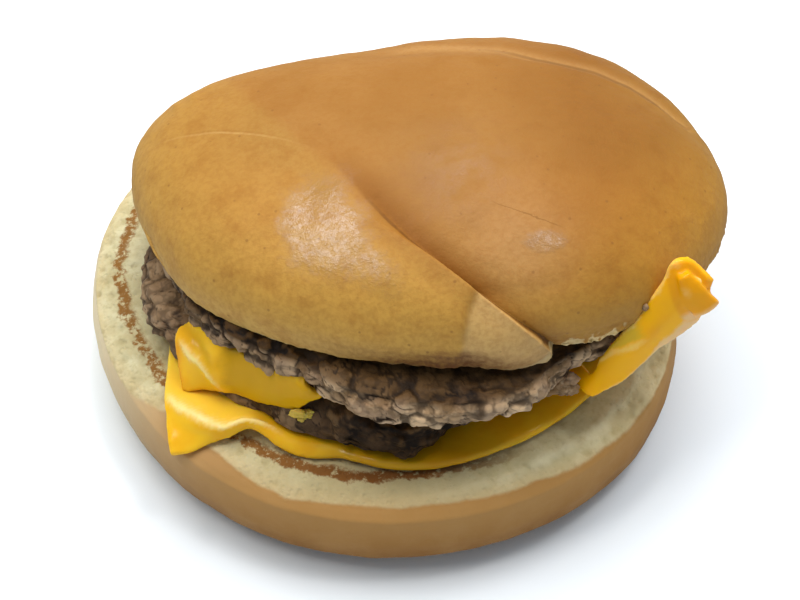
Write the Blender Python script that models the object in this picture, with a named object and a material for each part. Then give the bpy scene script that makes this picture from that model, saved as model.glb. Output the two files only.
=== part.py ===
"""Double-patty cheeseburger: six closed food solids, stacked with small gaps.

Units are metres, +Z is up and the front of the burger faces -Y. The origin is the
middle of the heel's flat underside, which is what the burger stands on. From the
bottom up: heel (bottom bun), lower_cheese, lower_patty, upper_cheese, upper_patty
and crown (top bun). The crown is creased, tipped back and sits off to the right.
"""
from math import atan2, cos, exp, hypot, pi, radians, sin, sqrt, tan

import bmesh
import bpy
from mathutils import Vector

mm = 0.001

# ---------------------------------------------------------------- driving dimensions
GAP = 0.3 * mm                  # clear space between two layers that touch
STACK_FALL = 0.03               # every layer lies this much lower per metre of +Y

HEEL_RADIUS = 49.7 * mm
HEEL_HEIGHT = 14.5 * mm         # over the middle of the stack
HEEL_FOOT_INSET = 9.5 * mm      # the flat underside is this much smaller all round
HEEL_LOBES = ((2, -0.015, 0.014), (3, -0.030, -0.009), (4, -0.003, -0.017))
CRUST_LINE_DROP = 1.3 * mm      # the cut edge of the heel below its top

SLICE_SIDE = 84.0 * mm
SLICE_THICKNESS = 2.0 * mm
LOWER_CORNER = radians(-139.0)  # where a corner of the lower slice lies free on the heel
UPPER_CORNER = radians(-145.0)  # where a corner of the upper slice hangs down

LOWER_PATTY_CENTRE = (-1.0 * mm, -5.8 * mm)
LOWER_PATTY_RADII = (40.0 * mm, 35.7 * mm)
LOWER_PATTY_HEIGHT = 6.3 * mm
LOWER_PATTY_LOBES = ((3, 0.008, -0.006), (5, 0.006, 0.008), (7, -0.007, 0.005))

UPPER_PATTY_CENTRE = (4.3 * mm, -5.6 * mm)
UPPER_PATTY_RADII = (40.4 * mm, 35.0 * mm)
UPPER_PATTY_HEIGHT = 6.4 * mm
UPPER_PATTY_LOBES = ((4, 0.006, 0.004), (6, 0.006, -0.006), (9, 0.004, 0.005))

CROWN_CENTRE = Vector((6.8, 0.3, 26.6)) * mm    # middle of the crown's cut face
CROWN_RADII = (51.1 * mm, 34.1 * mm)
CROWN_RIM_HEIGHT = 5.0 * mm     # from the cut face up to the widest place
CROWN_DOME_HEIGHT = 18.0 * mm   # from the widest place up to the top
CROWN_TILT = radians(14.0)      # tipped back: the front edge is the high one
CROWN_LOBES = ((2, -0.062, 0.006), (3, -0.032, 0.023), (4, -0.006, -0.023), (5, 0.019, 0.0))

# the crease runs over the crown's front half, in the crown's own tipped plane
CREASE_START = Vector((-15.0, -16.0)) * mm
CREASE_END = Vector((14.5, -36.0)) * mm
CREASE_BOW = 3.1 * mm
CREASE_DEPTH = 3.2 * mm
CREASE_FADE = 7.0 * mm          # how far the right-hand side takes to rise again

# the flap is a free corner of the upper slice: rows from its root to its tip, each
# from the slice's front edge (below) to its right edge (above)
FLAP_ROWS = (
    ((26.0, -26.0, 25.5), (28.0, -24.0, 25.5), (30.0, -21.0, 25.4), (32.0, -17.5, 25.3)),
    ((28.9, -32.2, 25.5), (30.3, -32.2, 27.0), (31.6, -32.4, 29.2), (32.4, -32.2, 32.4)),
    ((33.5, -31.3, 26.0), (34.2, -31.2, 28.8), (34.9, -31.2, 32.0), (35.0, -31.0, 35.2)),
    ((38.5, -28.4, 27.5), (37.9, -28.9, 31.5), (37.4, -29.4, 35.8), (36.9, -29.3, 39.4)),
    ((42.3, -26.4, 29.5), (41.2, -27.0, 34.0), (40.1, -27.8, 38.5), (39.0, -27.9, 41.7)),
    ((45.6, -24.2, 31.0), (44.9, -24.4, 35.5), (42.9, -25.0, 41.5), (41.2, -24.4, 45.0)),
    ((47.3, -22.6, 32.0), (50.7, -20.1, 34.0), (48.9, -20.3, 39.0), (43.5, -21.6, 45.8)),
)

FLAP_STATIONS = (0.0, 0.06, 0.09, 0.11, 0.125, 0.14, 0.155, 0.19, 0.25, 0.33, 0.42, 0.5,
                 0.58, 0.67, 0.75, 0.83, 0.92, 1.0)      # shares of the flap's length

# ---------------------------------------------------------------- colours
HEEL_COLOUR = (0.45, 0.22, 0.08)
CROWN_COLOUR = (0.55, 0.27, 0.08)
MEAT_COLOUR = (0.13, 0.075, 0.045)
CHEESE_COLOUR = (0.90, 0.46, 0.03)

# ---------------------------------------------------------------- levels of the stack
LOWER_CHEESE_Z = HEEL_HEIGHT + GAP
LOWER_PATTY_Z = LOWER_CHEESE_Z + SLICE_THICKNESS + GAP
UPPER_CHEESE_Z = LOWER_PATTY_Z + LOWER_PATTY_HEIGHT + GAP
UPPER_PATTY_Z = UPPER_CHEESE_Z + SLICE_THICKNESS + GAP
STACK_TOP_Z = UPPER_PATTY_Z + UPPER_PATTY_HEIGHT


# ---------------------------------------------------------------- small maths helpers
def smoothstep(low, high, value):
    """0 below low, 1 above high, with a soft S between them."""
    t = min(max((value - low) / (high - low), 0.0), 1.0)
    return t * t * (3.0 - 2.0 * t)


def bell(value, centre, width):
    """A smooth bump of height 1 at the centre, which fades over the width."""
    return exp(-((value - centre) / width) ** 2)


def turn_between(angle, centre):
    """The signed turn from the centre angle to this angle, from -pi to pi."""
    return (angle - centre + pi) % (2.0 * pi) - pi


def lobed(angle, lobes):
    """1 plus a few waves round the outline, each as (count, cosine, sine)."""
    return 1.0 + sum(c * cos(n * angle) + s * sin(n * angle) for n, c, s in lobes)


def oval(angle, radii):
    """Radius of an ellipse at this angle."""
    return 1.0 / hypot(cos(angle) / radii[0], sin(angle) / radii[1])


def polar(centre, angle, radius):
    """A plan point at this angle and distance from the centre."""
    return centre[0] + radius * cos(angle), centre[1] + radius * sin(angle)


def stack_fall(y):
    """How much lower a layer lies at this y than over the origin."""
    return STACK_FALL * y


# ---------------------------------------------------------------- mesh builders
def add_object(name, mesh_data, colour, roughness):
    """Put a finished bmesh in the scene, with its own material."""
    bmesh.ops.recalc_face_normals(mesh_data, faces=mesh_data.faces)
    mesh = bpy.data.meshes.new(name)
    mesh_data.to_mesh(mesh)
    mesh_data.free()
    mesh.shade_smooth()
    mesh.set_sharp_from_angle(angle=radians(50.0))
    material = bpy.data.materials.new(name + "_surface")
    material.use_nodes = True
    shader = material.node_tree.nodes["Principled BSDF"]
    shader.inputs["Base Color"].default_value = (*colour, 1.0)
    shader.inputs["Roughness"].default_value = roughness
    shader.inputs["Metallic"].default_value = 0.0
    mesh.materials.append(material)
    item = bpy.data.objects.new(name, mesh)
    bpy.context.collection.objects.link(item)
    return item


def ring_body(rings, flat_foot=False):
    """A closed body skinned over rings of points, from its bottom to its top.

    The two ends are closed on a middle point, or at the foot by one flat face.
    """
    data = bmesh.new()
    loops = [[data.verts.new(point) for point in ring] for ring in rings]
    count = len(loops[0])
    for low, high in zip(loops, loops[1:]):
        for i in range(count):
            j = (i + 1) % count
            data.faces.new((low[i], low[j], high[j], high[i]))
    ends = [loops[-1]] if flat_foot else [loops[-1], loops[0]]
    for loop in ends:
        middle = sum((vert.co for vert in loop), Vector()) / count
        tip = data.verts.new(middle)
        for i in range(count):
            data.faces.new((loop[i], loop[(i + 1) % count], tip))
    if flat_foot:
        data.faces.new(loops[0])
    return data


def even_angles(count):
    return [2.0 * pi * i / count for i in range(count)]


def gathered_angles(count, focus, pull):
    """Angles that start at the focus and crowd together round it."""
    return [focus + a - pull * sin(a) for a in even_angles(count)]


def curve_through(points, t):
    """A smooth curve through the points, read at t from 0 (first) to 1 (last)."""
    place = t * (len(points) - 1)
    i = min(int(place), len(points) - 2)
    f = place - i
    before = points[max(i - 1, 0)]
    after = points[min(i + 2, len(points) - 1)]
    slope_a = (points[i + 1] - before) * 0.5
    slope_b = (after - points[i]) * 0.5
    rise = f * f * (3.0 - 2.0 * f)
    return (points[i] * (1.0 - rise) + points[i + 1] * rise
            + slope_a * (f * (1.0 - f) ** 2) - slope_b * (f * f * (1.0 - f)))


# ---------------------------------------------------------------- heel (bottom bun)
def heel_radius(angle):
    return HEEL_RADIUS * lobed(angle, HEEL_LOBES)


def heel_top(x, y):
    """Height of the heel's cut face, which rolls over at its rim."""
    inset = heel_radius(atan2(y, x)) - hypot(x, y)
    ring_swell = 0.25 * mm * bell(inset, 7.5 * mm, 3.0 * mm)
    roll_over = CRUST_LINE_DROP * (1.0 - smoothstep(0.0, 6.0 * mm, inset)) ** 1.5
    return HEEL_HEIGHT - stack_fall(y) + ring_swell - roll_over


def build_heel():
    angles = even_angles(64)
    side = ((HEEL_FOOT_INSET, 0.0), (5.4 * mm, 0.035), (2.6 * mm, 0.14), (0.8 * mm, 0.31),
            (0.0, 0.52), (0.2 * mm, 0.72), (0.7 * mm, 0.89))
    top = (1.3 * mm, 2.6 * mm, 4.6 * mm, 7.5 * mm, 12.0 * mm)
    rings = []
    for inset, share in side:
        ring = []
        for a in angles:
            x, y = polar((0.0, 0.0), a, heel_radius(a) - inset)
            ring.append((x, y, share * heel_top(x, y)))
        rings.append(ring)
    for inset in top:
        ring = []
        for a in angles:
            x, y = polar((0.0, 0.0), a, heel_radius(a) - inset)
            ring.append((x, y, heel_top(x, y)))
        rings.append(ring)
    add_object("heel", ring_body(rings, flat_foot=True), HEEL_COLOUR, 0.55)


# ---------------------------------------------------------------- patties
def lower_patty_radius(angle):
    """The lower patty is pressed in at its front left, between the two free corners."""
    dent = 0.065 * bell(turn_between(angle, radians(-120.0)), 0.0, radians(24.0))
    return oval(angle, LOWER_PATTY_RADII) * (lobed(angle, LOWER_PATTY_LOBES) - dent)


def upper_patty_radius(angle):
    """The upper patty is dented at its front left, and a little beside the flap."""
    left_dent = 0.10 * bell(turn_between(angle, radians(-124.0)), 0.0, radians(16.0))
    right_dent = 0.05 * bell(turn_between(angle, radians(-45.0)), 0.0, radians(16.0))
    shape = lobed(angle, UPPER_PATTY_LOBES) - left_dent - right_dent
    return oval(angle, UPPER_PATTY_RADII) * shape


def past_edge(x, y, centre, radius):
    """How far a plan point lies outside an outline round this centre."""
    dx = x - centre[0]
    dy = y - centre[1]
    return hypot(dx, dy) - radius(atan2(dy, dx))


def build_patty(name, centre, radius, base_z, height):
    """A pressed meat disc with rounded, slightly ragged edges."""
    angles = even_angles(48)
    profile = ((14.0 * mm, 0.0), (2.4 * mm, 0.0), (0.8 * mm, 0.14), (0.0, 0.42),
               (0.3 * mm, 0.72), (1.4 * mm, 0.93), (3.6 * mm, 1.0), (14.0 * mm, 1.0))
    rings = []
    for inset, share in profile:
        ring = []
        for i, a in enumerate(angles):
            edge = 1.0 - smoothstep(2.0 * mm, 4.0 * mm, inset)
            ragged = edge * 0.3 * mm * sin(5.0 * i + 9.0 * share)
            x, y = polar(centre, a, radius(a) - inset + ragged)
            ring.append((x, y, base_z + share * height - stack_fall(y)))
        rings.append(ring)
    add_object(name, ring_body(rings), MEAT_COLOUR, 0.6)


# ---------------------------------------------------------------- cheese slices
def square_reach(angle, centre, middle):
    """Distance from the centre to the edge of a square slice round the middle."""
    half = SLICE_SIDE / 2.0
    reaches = []
    for axis, part in ((0, cos(angle)), (1, sin(angle))):
        if abs(part) > 1e-6:
            wall = middle[axis] + (half if part > 0.0 else -half)
            reaches.append((wall - centre[axis]) / part)
    return min(reaches)


def soft_min(first, second, blend):
    """The smaller of two lengths, with a rounded change from one to the other."""
    share = smoothstep(-blend, blend, first - second)
    return first * (1.0 - share) + second * share


def slice_body(centre, angles, reach, floor):
    """A melted slice: a sheet with a round edge, laid over a floor height."""
    insets = (13.0 * mm, 7.0 * mm, 3.6 * mm, 1.2 * mm)
    rings = []
    for layer, order in ((0.0, insets), (1.0, tuple(reversed(insets)))):
        for inset in order:
            ring = []
            for a in angles:
                x, y = polar(centre, a, reach(a) - inset)
                lift = layer * SLICE_THICKNESS
                ring.append((x, y, floor(x, y) + lift))
            rings.append(ring)
        if layer == 0.0:
            for inset, share in ((0.15 * mm, 0.3), (0.15 * mm, 0.75)):
                ring = []
                for a in angles:
                    x, y = polar(centre, a, reach(a) - inset)
                    ring.append((x, y, floor(x, y) + share * SLICE_THICKNESS))
                rings.append(ring)
    return ring_body(rings)


def lower_slice_reach(angle):
    """Melted back to the patty all along the front and right, with a free front left corner."""
    patty = lower_patty_radius(angle) + 0.1 * mm
    square = square_reach(angle, LOWER_PATTY_CENTRE, (6.0 * mm, -1.5 * mm))
    corner = bell(turn_between(angle, LOWER_CORNER), 0.0, radians(13.5))
    back = smoothstep(radians(70.0), radians(125.0), abs(turn_between(angle, radians(-60.0))))
    limit = patty + 10.3 * mm * corner + 6.0 * mm * back
    return soft_min(square, limit, 1.5 * mm)


def lower_slice_floor(x, y):
    """Rests on the heel, and arches up a little near its free corner."""
    past_patty = past_edge(x, y, LOWER_PATTY_CENTRE, lower_patty_radius)
    free = smoothstep(0.3 * mm, 3.5 * mm, past_patty)
    arch = 1.8 * mm * bell(x, -22.0 * mm, 4.0 * mm) * free
    return heel_top(x, y) + GAP + 0.3 * mm * free + arch


def build_lower_cheese():
    angles = gathered_angles(56, LOWER_CORNER, 0.4)
    body = slice_body(LOWER_PATTY_CENTRE, angles, lower_slice_reach, lower_slice_floor)
    add_object("lower_cheese", body, CHEESE_COLOUR, 0.3)


def upper_slice_reach(angle):
    """Ends near the lower patty's edge, with a corner hanging at the front left."""
    patty = lower_patty_radius(angle)
    square = square_reach(angle, LOWER_PATTY_CENTRE, (8.0 * mm, 6.4 * mm))
    hanging = bell(turn_between(angle, UPPER_CORNER), 0.0, radians(10.0))
    limit = patty - 0.4 * mm + 2.4 * mm * hanging
    return soft_min(square, limit, 1.5 * mm)


def upper_slice_floor(x, y):
    """Lies on the lower patty, and its corner falls away past the patty's edge."""
    angle = atan2(y - LOWER_PATTY_CENTRE[1], x - LOWER_PATTY_CENTRE[0])
    over = max(past_edge(x, y, LOWER_PATTY_CENTRE, lower_patty_radius) + 1.2 * mm, 0.0)
    curl = min(over, 2.6 * mm)
    drop = 0.25 * curl ** 2 / mm + 1.3 * (over - curl)
    hanging = bell(turn_between(angle, UPPER_CORNER), 0.0, radians(16.0))
    return UPPER_CHEESE_Z - stack_fall(y) - drop * hanging


def under_upper_patty(point):
    """Hold a point of the flap's middle sheet down until it is out from under the patty."""
    past = past_edge(point.x, point.y, UPPER_PATTY_CENTRE, upper_patty_radius)
    if past > 2.0 * mm:
        return point
    flat = UPPER_CHEESE_Z + SLICE_THICKNESS / 2.0 - stack_fall(point.y)
    turned_up = max(past + 1.2 * mm, 0.0) ** 2 / (2.1 * mm - past)
    return Vector((point.x, point.y, min(point.z, flat + turned_up)))


def flap_body(lengths, width_steps):
    """The flap as a sheet of the slice's thickness, skinned smoothly over its rows."""
    rows = [[Vector(point) * mm for point in row] for row in FLAP_ROWS]
    length_steps = len(lengths) - 1

    def middle(t, w):
        return under_upper_patty(curve_through([curve_through(row, w) for row in rows], t))

    def face_normal(t, w):
        step = 0.004
        along = middle(min(t + step, 1.0), w) - middle(max(t - step, 0.0), w)
        across = middle(t, min(w + step, 1.0)) - middle(t, max(w - step, 0.0))
        return along.cross(across).normalized()

    data = bmesh.new()
    half = SLICE_THICKNESS / 2.0
    sides = {}
    for side in (-1.0, 1.0):
        for i in range(length_steps + 1):
            for j in range(width_steps + 1):
                t = lengths[i]
                w = j / width_steps
                point = middle(t, w) + face_normal(t, w) * (half * side)
                sides[side, i, j] = data.verts.new(point)
    for side in (-1.0, 1.0):
        for i in range(length_steps):
            for j in range(width_steps):
                corners = ((i, j), (i + 1, j), (i + 1, j + 1), (i, j + 1))
                data.faces.new([sides[side, a, b] for a, b in corners])
    border = [(i, 0) for i in range(length_steps)]
    border += [(length_steps, j) for j in range(width_steps)]
    border += [(i, width_steps) for i in range(length_steps, 0, -1)]
    border += [(0, j) for j in range(width_steps, 0, -1)]
    for (a, b), (c, d) in zip(border, border[1:] + border[:1]):
        data.faces.new((sides[-1.0, a, b], sides[-1.0, c, d], sides[1.0, c, d], sides[1.0, a, b]))
    return data


def build_upper_cheese():
    angles = gathered_angles(52, UPPER_CORNER, 0.4)
    body = slice_body(LOWER_PATTY_CENTRE, angles, upper_slice_reach, upper_slice_floor)
    slice_item = add_object("upper_cheese", body, CHEESE_COLOUR, 0.3)
    flap = add_object("flap_guide", flap_body(FLAP_STATIONS, 5), CHEESE_COLOUR, 0.3)
    flap.hide_render = True
    flap.display_type = "WIRE"
    union = slice_item.modifiers.new("flap", "BOOLEAN")
    union.operation = "UNION"
    union.object = flap


# ---------------------------------------------------------------- crown (top bun)
def crown_outline(angle):
    """A point of the crown's widest outline, in its own tipped plane."""
    lobe = lobed(angle, CROWN_LOBES)
    return CROWN_RADII[0] * lobe * cos(angle), CROWN_RADII[1] * lobe * sin(angle)


def crown_point(x, y, z):
    """From the crown's own tipped axes to the burger's axes."""
    return Vector((
        CROWN_CENTRE.x + x,
        CROWN_CENTRE.y + y * cos(CROWN_TILT) + z * sin(CROWN_TILT),
        CROWN_CENTRE.z - y * sin(CROWN_TILT) + z * cos(CROWN_TILT),
    ))


def crown_dome(share):
    """Height of the dome over the cut face, at a share of the outline's radius."""
    return CROWN_RIM_HEIGHT + CROWN_DOME_HEIGHT * sqrt(max(1.0 - share ** 2.3, 0.0))


def past_stack(x, y):
    """How far a plan point lies outside both patties."""
    return min(past_edge(x, y, UPPER_PATTY_CENTRE, upper_patty_radius),
               past_edge(x, y, LOWER_PATTY_CENTRE, lower_patty_radius))


def lift_over_stack(point):
    """Raise a point of the crown's cut face clear of the stack below it."""
    near = 1.0 - smoothstep(0.8 * mm, 2.4 * mm, past_stack(point.x, point.y))
    seat = STACK_TOP_Z + GAP - stack_fall(point.y)
    return Vector((0.0, 0.0, max(seat - point.z, 0.0) * near))


def underside_ring(rim, clearance, share):
    """Points under the crown, on lines from its rim to the middle of the stack.

    The lines are cut where they come within the clearance of the patties, and the
    share then says how far out along the rest of each line the point lies.
    """
    middle = Vector((*UPPER_PATTY_CENTRE, 0.0))
    ring = []
    for rim_point in rim:
        flat_rim = Vector((rim_point.x, rim_point.y, 0.0))
        reach = 0.97
        while past_stack(*(middle.lerp(flat_rim, reach)).xy) > clearance:
            reach -= 0.005
        spot = middle.lerp(flat_rim, reach * share)
        height = rim_plane_z(spot.y)
        point = Vector((spot.x, spot.y, height))
        ring.append(point + lift_over_stack(point))
    return ring


def rim_plane_z(y):
    """Height of the crown's tipped cut face at this y."""
    return CROWN_CENTRE.z - (y - CROWN_CENTRE.y) * tan(CROWN_TILT)


def crease_sink(x, y):
    """How far the skin sinks beside the crease, and swells on the crease's left."""
    along = CREASE_END - CREASE_START
    length = along.length
    along.normalize()
    offset = Vector((x, y)) - CREASE_START
    run = offset.dot(along) / length
    inner_run = min(max(run, 0.0), 1.0)
    bow = CREASE_BOW * 6.75 * inner_run ** 2 * (1.0 - inner_run)
    across = offset.y * along.x - offset.x * along.y + bow
    valley = smoothstep(-3.2 * mm, 2.0 * mm, across) * exp(-max(across, 0.0) / CREASE_FADE)
    swell = 0.9 * mm * bell(across, -4.5 * mm, 4.5 * mm)
    return smoothstep(0.0, 0.75, run) * (CREASE_DEPTH * valley - swell)


def brim_sink(share, angle):
    """A fold behind the dome, inside a narrow brim that stands at the back and right."""
    reach = 1.0 - smoothstep(radians(42.0), radians(58.0), abs(turn_between(angle, radians(60.0))))
    groove = 1.9 * mm * bell(share, 0.69, 0.11)
    brim = 0.5 * mm * bell(share, 0.88, 0.06)
    return reach * (groove - brim)


def crown_skin(share, z, angle):
    """A point of the crust, with the crease and the brim worked into it."""
    x, y = (share * part for part in crown_outline(angle))
    crease = crease_sink(x, y)
    wall = smoothstep(0.88, 1.0, share)
    drawn_in = 1.0 - wall * crease / hypot(x, y)
    sink = (1.0 - wall) * crease + brim_sink(share, angle)
    return crown_point(x * drawn_in, y * drawn_in, z - sink)


def build_crown():
    angles = gathered_angles(80, radians(-72.0), 0.45)
    rim_shares = ((0.965, 0.0), (0.99, 2.2 * mm))
    dome_shares = (1.0, 0.985, 0.96, 0.925, 0.885, 0.84, 0.79, 0.73, 0.66, 0.58, 0.48, 0.36, 0.2)
    plain_rim = [crown_skin(*rim_shares[0], a) for a in angles]
    lifts = [lift_over_stack(point) for point in plain_rim]
    rim = [point + lift for point, lift in zip(plain_rim, lifts)]
    rings = [underside_ring(rim, 0.8 * mm, share) for share in (0.35, 0.7, 1.0)]
    rings.append(underside_ring(rim, 2.4 * mm, 1.0))
    rings.append(rim)
    share, z = rim_shares[1]
    rings.append([crown_skin(share, z, a) + lift * 0.6 for a, lift in zip(angles, lifts)])
    for share in dome_shares:
        rings.append([crown_skin(share, crown_dome(share), a) for a in angles])
    add_object("crown", ring_body(rings), CROWN_COLOUR, 0.35)


# ---------------------------------------------------------------- assembly
def clear_scene():
    for item in list(bpy.data.objects):
        bpy.data.objects.remove(item)


def main():
    clear_scene()
    build_heel()
    build_lower_cheese()
    build_patty("lower_patty", LOWER_PATTY_CENTRE, lower_patty_radius,
                LOWER_PATTY_Z, LOWER_PATTY_HEIGHT)
    build_upper_cheese()
    build_patty("upper_patty", UPPER_PATTY_CENTRE, upper_patty_radius,
                UPPER_PATTY_Z, UPPER_PATTY_HEIGHT)
    build_crown()


main()
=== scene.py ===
# %% [markdown]
# # A double cheeseburger, layer by layer
# The solid model gives six closed food solids: heel, lower cheese, lower patty, upper
# cheese, upper patty and crown. They have the right size and place but no skin. In this
# lesson each one is remade as a finer mesh in the same place, and given a material.
# The frame is loaded first, because each later piece hides the frame's part that it remakes.

from math import pi, radians

import bpy
import numpy as np
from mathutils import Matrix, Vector
from mathutils.kdtree import KDTree


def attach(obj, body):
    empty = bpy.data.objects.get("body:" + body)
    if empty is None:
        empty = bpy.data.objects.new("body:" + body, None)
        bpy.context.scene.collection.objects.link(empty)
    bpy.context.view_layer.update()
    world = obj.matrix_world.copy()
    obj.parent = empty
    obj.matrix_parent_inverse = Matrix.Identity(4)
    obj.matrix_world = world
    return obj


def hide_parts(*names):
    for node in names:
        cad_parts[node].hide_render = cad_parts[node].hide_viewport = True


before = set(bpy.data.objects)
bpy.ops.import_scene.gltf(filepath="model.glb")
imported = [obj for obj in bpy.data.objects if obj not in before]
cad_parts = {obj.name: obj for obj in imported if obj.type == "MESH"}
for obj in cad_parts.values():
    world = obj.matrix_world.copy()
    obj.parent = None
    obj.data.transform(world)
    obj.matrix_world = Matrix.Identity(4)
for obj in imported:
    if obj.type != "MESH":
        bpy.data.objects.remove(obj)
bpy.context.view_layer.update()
mm = 0.001

# %% [markdown]
# ## The camera
# It looks down on the front of the burger through a long lens, as a person does who
# stands over a table. A long lens keeps the two bun halves in their true proportions.

# %% Camera
bpy.ops.object.select_all(action="DESELECT")
bpy.ops.object.camera_add(location=(0.0014, -0.23106, 0.32361), rotation=(radians(36.0), 0.0, 0.0))
camera = bpy.context.object
camera.data.lens = 104.4
camera.data.sensor_width = 36.0
camera.data.clip_start = 0.01
bpy.context.scene.camera = camera
print("camera set, lens", camera.data.lens)

# %% [markdown]
# ## Tools for shaping
# Food has no straight edges, so most of the shaping is like sculpting: a primitive is
# added with plenty of points, and the points are then moved by soft rules. A few small
# helpers read and write all points of a mesh at once, and make soft steps and bumps.

# %% Point helpers
def points_of(item):
    """All points of a mesh, as rows of x, y, z."""
    flat = np.empty(len(item.data.vertices) * 3)
    item.data.vertices.foreach_get("co", flat)
    return flat.reshape(-1, 3)


def set_points(item, points):
    item.data.vertices.foreach_set("co", points.ravel())
    item.data.update()


def outward(item):
    """The direction in which the surface faces at each point."""
    flat = np.empty(len(item.data.vertices) * 3)
    item.data.vertices.foreach_get("normal", flat)
    return flat.reshape(-1, 3)


def keep_values(item, name, values):
    """Store one number for each point, for a material to read."""
    layer = item.data.attributes.new(name, "FLOAT", "POINT")
    layer.data.foreach_set("value", np.ascontiguousarray(values, dtype=np.float32))


# %% Soft steps, bumps and noise
def soft_step(low, high, value):
    """0 below low, 1 above high, and an S-shaped rise between."""
    t = np.clip((value - low) / (high - low), 0.0, 1.0)
    return t * t * (3.0 - 2.0 * t)


def bell(value, centre, width):
    return np.exp(-((value - centre) / width) ** 2)


def turn_between(angle, centre):
    return (angle - centre + pi) % (2.0 * pi) - pi


dice = np.random.RandomState(7)
ORDER = dice.permutation(256)
SLOPES = dice.normal(size=(256, 3))
SLOPES /= np.linalg.norm(SLOPES, axis=1)[:, None]
SEEDS = dice.random_sample((256, 3))
TONES = dice.random_sample(256)
CORNERS = [np.array((i, j, k)) for i in (0, 1) for j in (0, 1) for k in (0, 1)]
NEIGHBOURS = [np.array((i, j, k)) for i in (-1, 0, 1) for j in (-1, 0, 1) for k in (-1, 0, 1)]


def lattice(whole):
    """A mixed-up number from 0 to 255 for each whole-numbered place."""
    first = ORDER[whole[:, 0] & 255]
    second = ORDER[(first + whole[:, 1]) & 255]
    return ORDER[(second + whole[:, 2]) & 255]


def rough(points, size, octaves=1, shift=0.0):
    """Smooth noise of about -1 to 1, with features of the given size."""
    total = np.zeros(len(points))
    for octave in range(octaves):
        places = points / size * 2.0 ** octave + shift + 17.3 * octave
        base = np.floor(places).astype(int)
        part = places - base
        fade = part ** 3 * (part * (part * 6.0 - 15.0) + 10.0)
        for corner in CORNERS:
            slope = SLOPES[lattice(base + corner)]
            weight = np.prod(np.where(corner == 1, fade, 1.0 - fade), axis=1)
            total += weight * np.einsum("ij,ij->i", slope, part - corner) * 1.6 * 0.5 ** octave
    return total


def cells(points, size, shift=0.0):
    """For each point: distance to its cell's seed, to the next seed, and a cell number."""
    places = points / size + shift
    base = np.floor(places).astype(int)
    near = np.full(len(points), 9.0)
    second = near.copy()
    tone = np.zeros(len(points))
    for step in NEIGHBOURS:
        index = lattice(base + step)
        distance = np.linalg.norm(base + step + SEEDS[index] - places, axis=1)
        closer = distance < near
        second = np.where(closer, near, np.minimum(second, distance))
        tone = np.where(closer, TONES[index], tone)
        near = np.minimum(near, distance)
    return near, second, tone


print("soft step check:", soft_step(0.0, 1.0, np.array([0.0, 0.5, 1.0])))


# %% Primitives
def clear_selection():
    if bpy.context.object and bpy.context.object.mode != "OBJECT":
        bpy.ops.object.mode_set(mode="OBJECT")
    bpy.ops.object.select_all(action="DESELECT")


def named(name):
    item = bpy.context.object
    item.name = name
    item.data.name = name
    return item


def apply_modifier(item, kind, **settings):
    clear_selection()
    item.select_set(True)
    bpy.context.view_layer.objects.active = item
    modifier = item.modifiers.new("step", kind)
    for key, value in settings.items():
        setattr(modifier, key, value)
    bpy.ops.object.modifier_apply(modifier=modifier.name)


def ball(name, segments, rings):
    """A ball to be reshaped, with each point's way down and bearing.

    The way down is 0 at the top of the ball and 1 at its foot. A coarse ball is made
    first and its faces are split twice, which is far quicker than a fine ball.
    """
    clear_selection()
    bpy.ops.mesh.primitive_uv_sphere_add(segments=segments // 4, ring_count=rings // 4, radius=1.0)
    item = named(name)
    apply_modifier(item, "SUBSURF", subdivision_type="SIMPLE", levels=2)
    points = points_of(item)
    points /= np.linalg.norm(points, axis=1)[:, None]
    down = np.arccos(np.clip(points[:, 2], -1.0, 1.0)) / pi
    return item, down, np.arctan2(points[:, 1], points[:, 0])


def join(items, name):
    clear_selection()
    for item in items:
        item.select_set(True)
    bpy.context.view_layer.objects.active = items[0]
    bpy.ops.object.join()
    return named(name)


def run_through(x, xs, ys, soften=9):
    """A smooth curve near the given stations, read at x from 0 to 1."""
    dense = np.interp(np.linspace(0.0, 1.0, 401), xs, ys)
    window = np.hanning(soften + 2)[1:-1]
    padded = np.pad(dense, soften // 2, mode="reflect", reflect_type="odd")
    dense = np.convolve(padded, window / window.sum(), mode="valid")
    return np.interp(x, np.linspace(0.0, 1.0, 401), dense)


# %% [markdown]
# ## Shader tools
# A material is a graph of nodes. Written as Python sums it is far easier to read, so
# one small class wraps a socket and turns each + or * into a Math node.

# %% Shader values
class Value:
    """A number that changes over the surface."""

    def __init__(self, finish, socket):
        self.finish = finish
        self.socket = socket

    def maths(self, operation, first, second):
        return self.finish.node("ShaderNodeMath", {"operation": operation}, {0: first, 1: second})

    def __add__(self, other):
        return self.maths("ADD", self, other)

    def __sub__(self, other):
        return self.maths("SUBTRACT", self, other)

    def __mul__(self, other):
        return self.maths("MULTIPLY", self, other)

    def __truediv__(self, other):
        return self.maths("DIVIDE", self, other)

    def __pow__(self, other):
        return self.maths("POWER", self, other)

    def __rsub__(self, other):
        return self.maths("SUBTRACT", other, self)

    __radd__ = __add__
    __rmul__ = __mul__

    def step(self, low, high):
        """0 below low and 1 above high, with a smooth change."""
        settings = {"interpolation_type": "SMOOTHSTEP", "clamp": True}
        return self.finish.node("ShaderNodeMapRange", settings, {0: self, 1: low, 2: high})


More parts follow.
